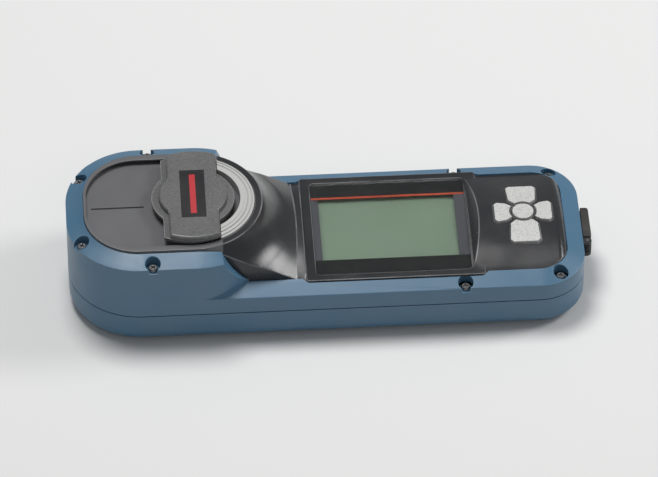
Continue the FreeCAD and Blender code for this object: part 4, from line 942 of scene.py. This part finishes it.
# %% Tree: coil
coils, given = new_tree("coil", {
    "Radius": 1.0 * MM, "Height": 3.0 * MM, "Turns": 5.0, "Wire": 0.15 * MM, "Finish": steel})
centre_line = calc(coils, "SUBTRACT", given["Radius"], given["Wire"])
rise = calc(coils, "SUBTRACT", given["Height"], calc(coils, "MULTIPLY", given["Wire"], 2.0))
spiral = add(coils, "GeometryNodeCurveSpiral", {
    "Resolution": 20, "Rotations": given["Turns"], "Start Radius": centre_line, "End Radius": centre_line,
    "Height": rise}).outputs[0]
wire = add(coils, "GeometryNodeCurvePrimitiveCircle", {"Resolution": 8, "Radius": given["Wire"]}).outputs[0]
swept = add(coils, "GeometryNodeCurveToMesh", {
    "Curve": spiral, "Profile Curve": wire, "Fill Caps": True}).outputs[0]
placed = add(coils, "GeometryNodeInstanceOnPoints", {
    "Points": given["Points"], "Instance": moved(coils, swept, vector(coils, z=given["Wire"]))}).outputs[0]
close_tree(coils, placed, given["Finish"])
print("coil inputs:", [item.name for item in coils.interface.items_tree])

# %% [markdown]
# ## Set the spring
# The rod's box gives the coil its radius and height, so the spring fits wherever the solid says.

# %% Set the spring
rods = solids_of("detent_spring")
low, high = rods[0]
sizes = {"Radius": (high.x - low.x) / 2, "Height": high.z - low.z, "Turns": 6.0, "Finish": steel}
stand_in("detent_spring", grow("detent_spring", coils, ends_of(rods, DOWN), sizes), steel, "light_shield")
print("coil of", sizes["Turns"], "turns, height in mm:", round(sizes["Height"] / MM, 2))

# %% [markdown]
# ## Feet
# A foot is a rubber disc with three raised rings under it, which grip the bench. Each ring is a round
# bead swept along a circle, and the three circles are shares of the foot's radius.

# %% Tree: ringed foot
RING_SHARES = (0.3, 0.6, 0.88)
treads, given = new_tree("ringed_foot", {
    "Radius": 6.0 * MM, "Thickness": 2.2 * MM, "Ring": 0.45 * MM, "Finish": rubber})
plate = add(treads, "GeometryNodeMeshCylinder", {
    "Vertices": 48, "Radius": given["Radius"],
    "Depth": calc(treads, "SUBTRACT", given["Thickness"], given["Ring"])})
middle_height = calc(treads, "MULTIPLY", calc(treads, "ADD", given["Thickness"], given["Ring"]), 0.5)
lifted = moved(treads, plate.outputs["Mesh"], vector(treads, z=middle_height))
bead = add(treads, "GeometryNodeCurvePrimitiveCircle", {"Resolution": 8, "Radius": given["Ring"]}).outputs[0]
rings = []
for share in RING_SHARES:
    around = add(treads, "GeometryNodeCurvePrimitiveCircle", {
        "Resolution": 48, "Radius": calc(treads, "MULTIPLY", given["Radius"], share)}).outputs[0]
    tube = add(treads, "GeometryNodeCurveToMesh", {"Curve": around, "Profile Curve": bead}).outputs[0]
    rings.append(moved(treads, tube, vector(treads, z=given["Ring"])))
feet = add(treads, "GeometryNodeInstanceOnPoints",
           {"Points": given["Points"], "Instance": joined(treads, lifted, *rings)}).outputs[0]
close_tree(treads, feet, given["Finish"])
print("foot inputs:", [item.name for item in treads.interface.items_tree])

# %% [markdown]
# ## Set the feet
# The feet stand in shallow pockets under the housing. A foot grows upward from the lowest point of
# its own solid, so all four touch the floor.

# %% Set the feet
spots = ends_of(solids_of("base_feet"), DOWN)
stand_in("base_feet", grow("base_feet", treads, spots, {"Finish": rubber}), rubber, "body")
print("feet set:", len(spots))

# %% [markdown]
# ## Floor
# The instrument lies on a plain pale floor that is wide enough to fill every view. It is matt, so it
# takes a soft shadow and throws some light back up on the side walls, as a bench does.

# %% Floor
FLOOR_HALF = 6.0


def floor_material():
    """A matt, nearly white finish."""
    material = bpy.data.materials.new("pale_floor")
    material.use_nodes = True
    shader = material.node_tree.nodes["Principled BSDF"]
    shader.inputs["Base Color"].default_value = (0.80, 0.80, 0.79, 1.0)
    shader.inputs["Roughness"].default_value = 0.9
    return material


floor_mesh = bpy.data.meshes.new("floor")
corners = [(x * FLOOR_HALF, y * FLOOR_HALF, 0) for x, y in ((-1, -1), (1, -1), (1, 1), (-1, 1))]
floor_mesh.from_pydata(corners, [], [(0, 1, 2, 3)])
floor = bpy.data.objects.new("floor", floor_mesh)
bpy.context.collection.objects.link(floor)
floor_mesh.materials.append(floor_material())
print("floor of", 2 * FLOOR_HALF, "m")

# %% [markdown]
# ## Light
# Three round soft lamps light it. The large one above gives the level, the one at the right is the
# window that the glossy waist mirrors as a soft bright patch, and a weak one in front opens the
# shadows. An even room light, weaker than the lamps, keeps the dark plastics dark.

# %% Lamps and room
ROOM_COLOR, ROOM_STRENGTH = (0.92, 0.94, 0.96, 1.0), 0.21
# name: (place in metres, breadth in metres, power in watts)
LAMPS = {
    "top_light": ((-0.25, 0.35, 1.7), 0.7, 19.0),
    "window_light": ((1.35, 0.25, 1.15), 0.62, 10.5),
    "front_light": ((0.2, -1.5, 1.3), 0.6, 1.5),
}


def lamp(name, position, size, power):
    """A round soft lamp that points at the instrument."""
    data = bpy.data.lights.new(name, "AREA")
    data.shape = "DISK"
    data.size = size
    data.energy = power
    light = bpy.data.objects.new(name, data)
    light.location = position
    light.rotation_mode = "QUATERNION"
    light.rotation_quaternion = (-Vector(position)).to_track_quat("-Z", "Y")
    bpy.context.collection.objects.link(light)


for name, values in LAMPS.items():
    lamp(name, *values)
world = bpy.data.worlds.new("room")
bpy.context.scene.world = world
world.use_nodes = True
background = world.node_tree.nodes["Background"]
background.inputs["Color"].default_value = ROOM_COLOR
background.inputs["Strength"].default_value = ROOM_STRENGTH
print("lamps:", ", ".join(LAMPS))

# %% [markdown]
# ## Camera
# The camera stands where the photographer stood, about 45 degrees above and a little to the left,
# with a long lens, so that the lines of the instrument stay nearly parallel as they do there.

# %% Camera
AZIMUTH, ELEVATION = math.radians(-3.5), math.radians(44.5)
DISTANCE, LENS = 2.8, 300
AIM = Vector((0.0, 0.0, 0.026))
level = math.cos(ELEVATION)
away = Vector((math.sin(AZIMUTH) * level, -math.cos(AZIMUTH) * level, math.sin(ELEVATION)))
camera_data = bpy.data.cameras.new("camera")
camera_data.lens = LENS
camera = bpy.data.objects.new("camera", camera_data)
bpy.context.collection.objects.link(camera)
camera.location = AIM + away * DISTANCE
camera.rotation_mode = "QUATERNION"
camera.rotation_quaternion = away.to_track_quat("Z", "Y")
camera_data.clip_start, camera_data.clip_end = 0.05, 20.0
bpy.context.scene.camera = camera
bpy.context.scene.view_settings.view_transform = "Standard"
print("camera at", [round(c, 3) for c in camera.location])
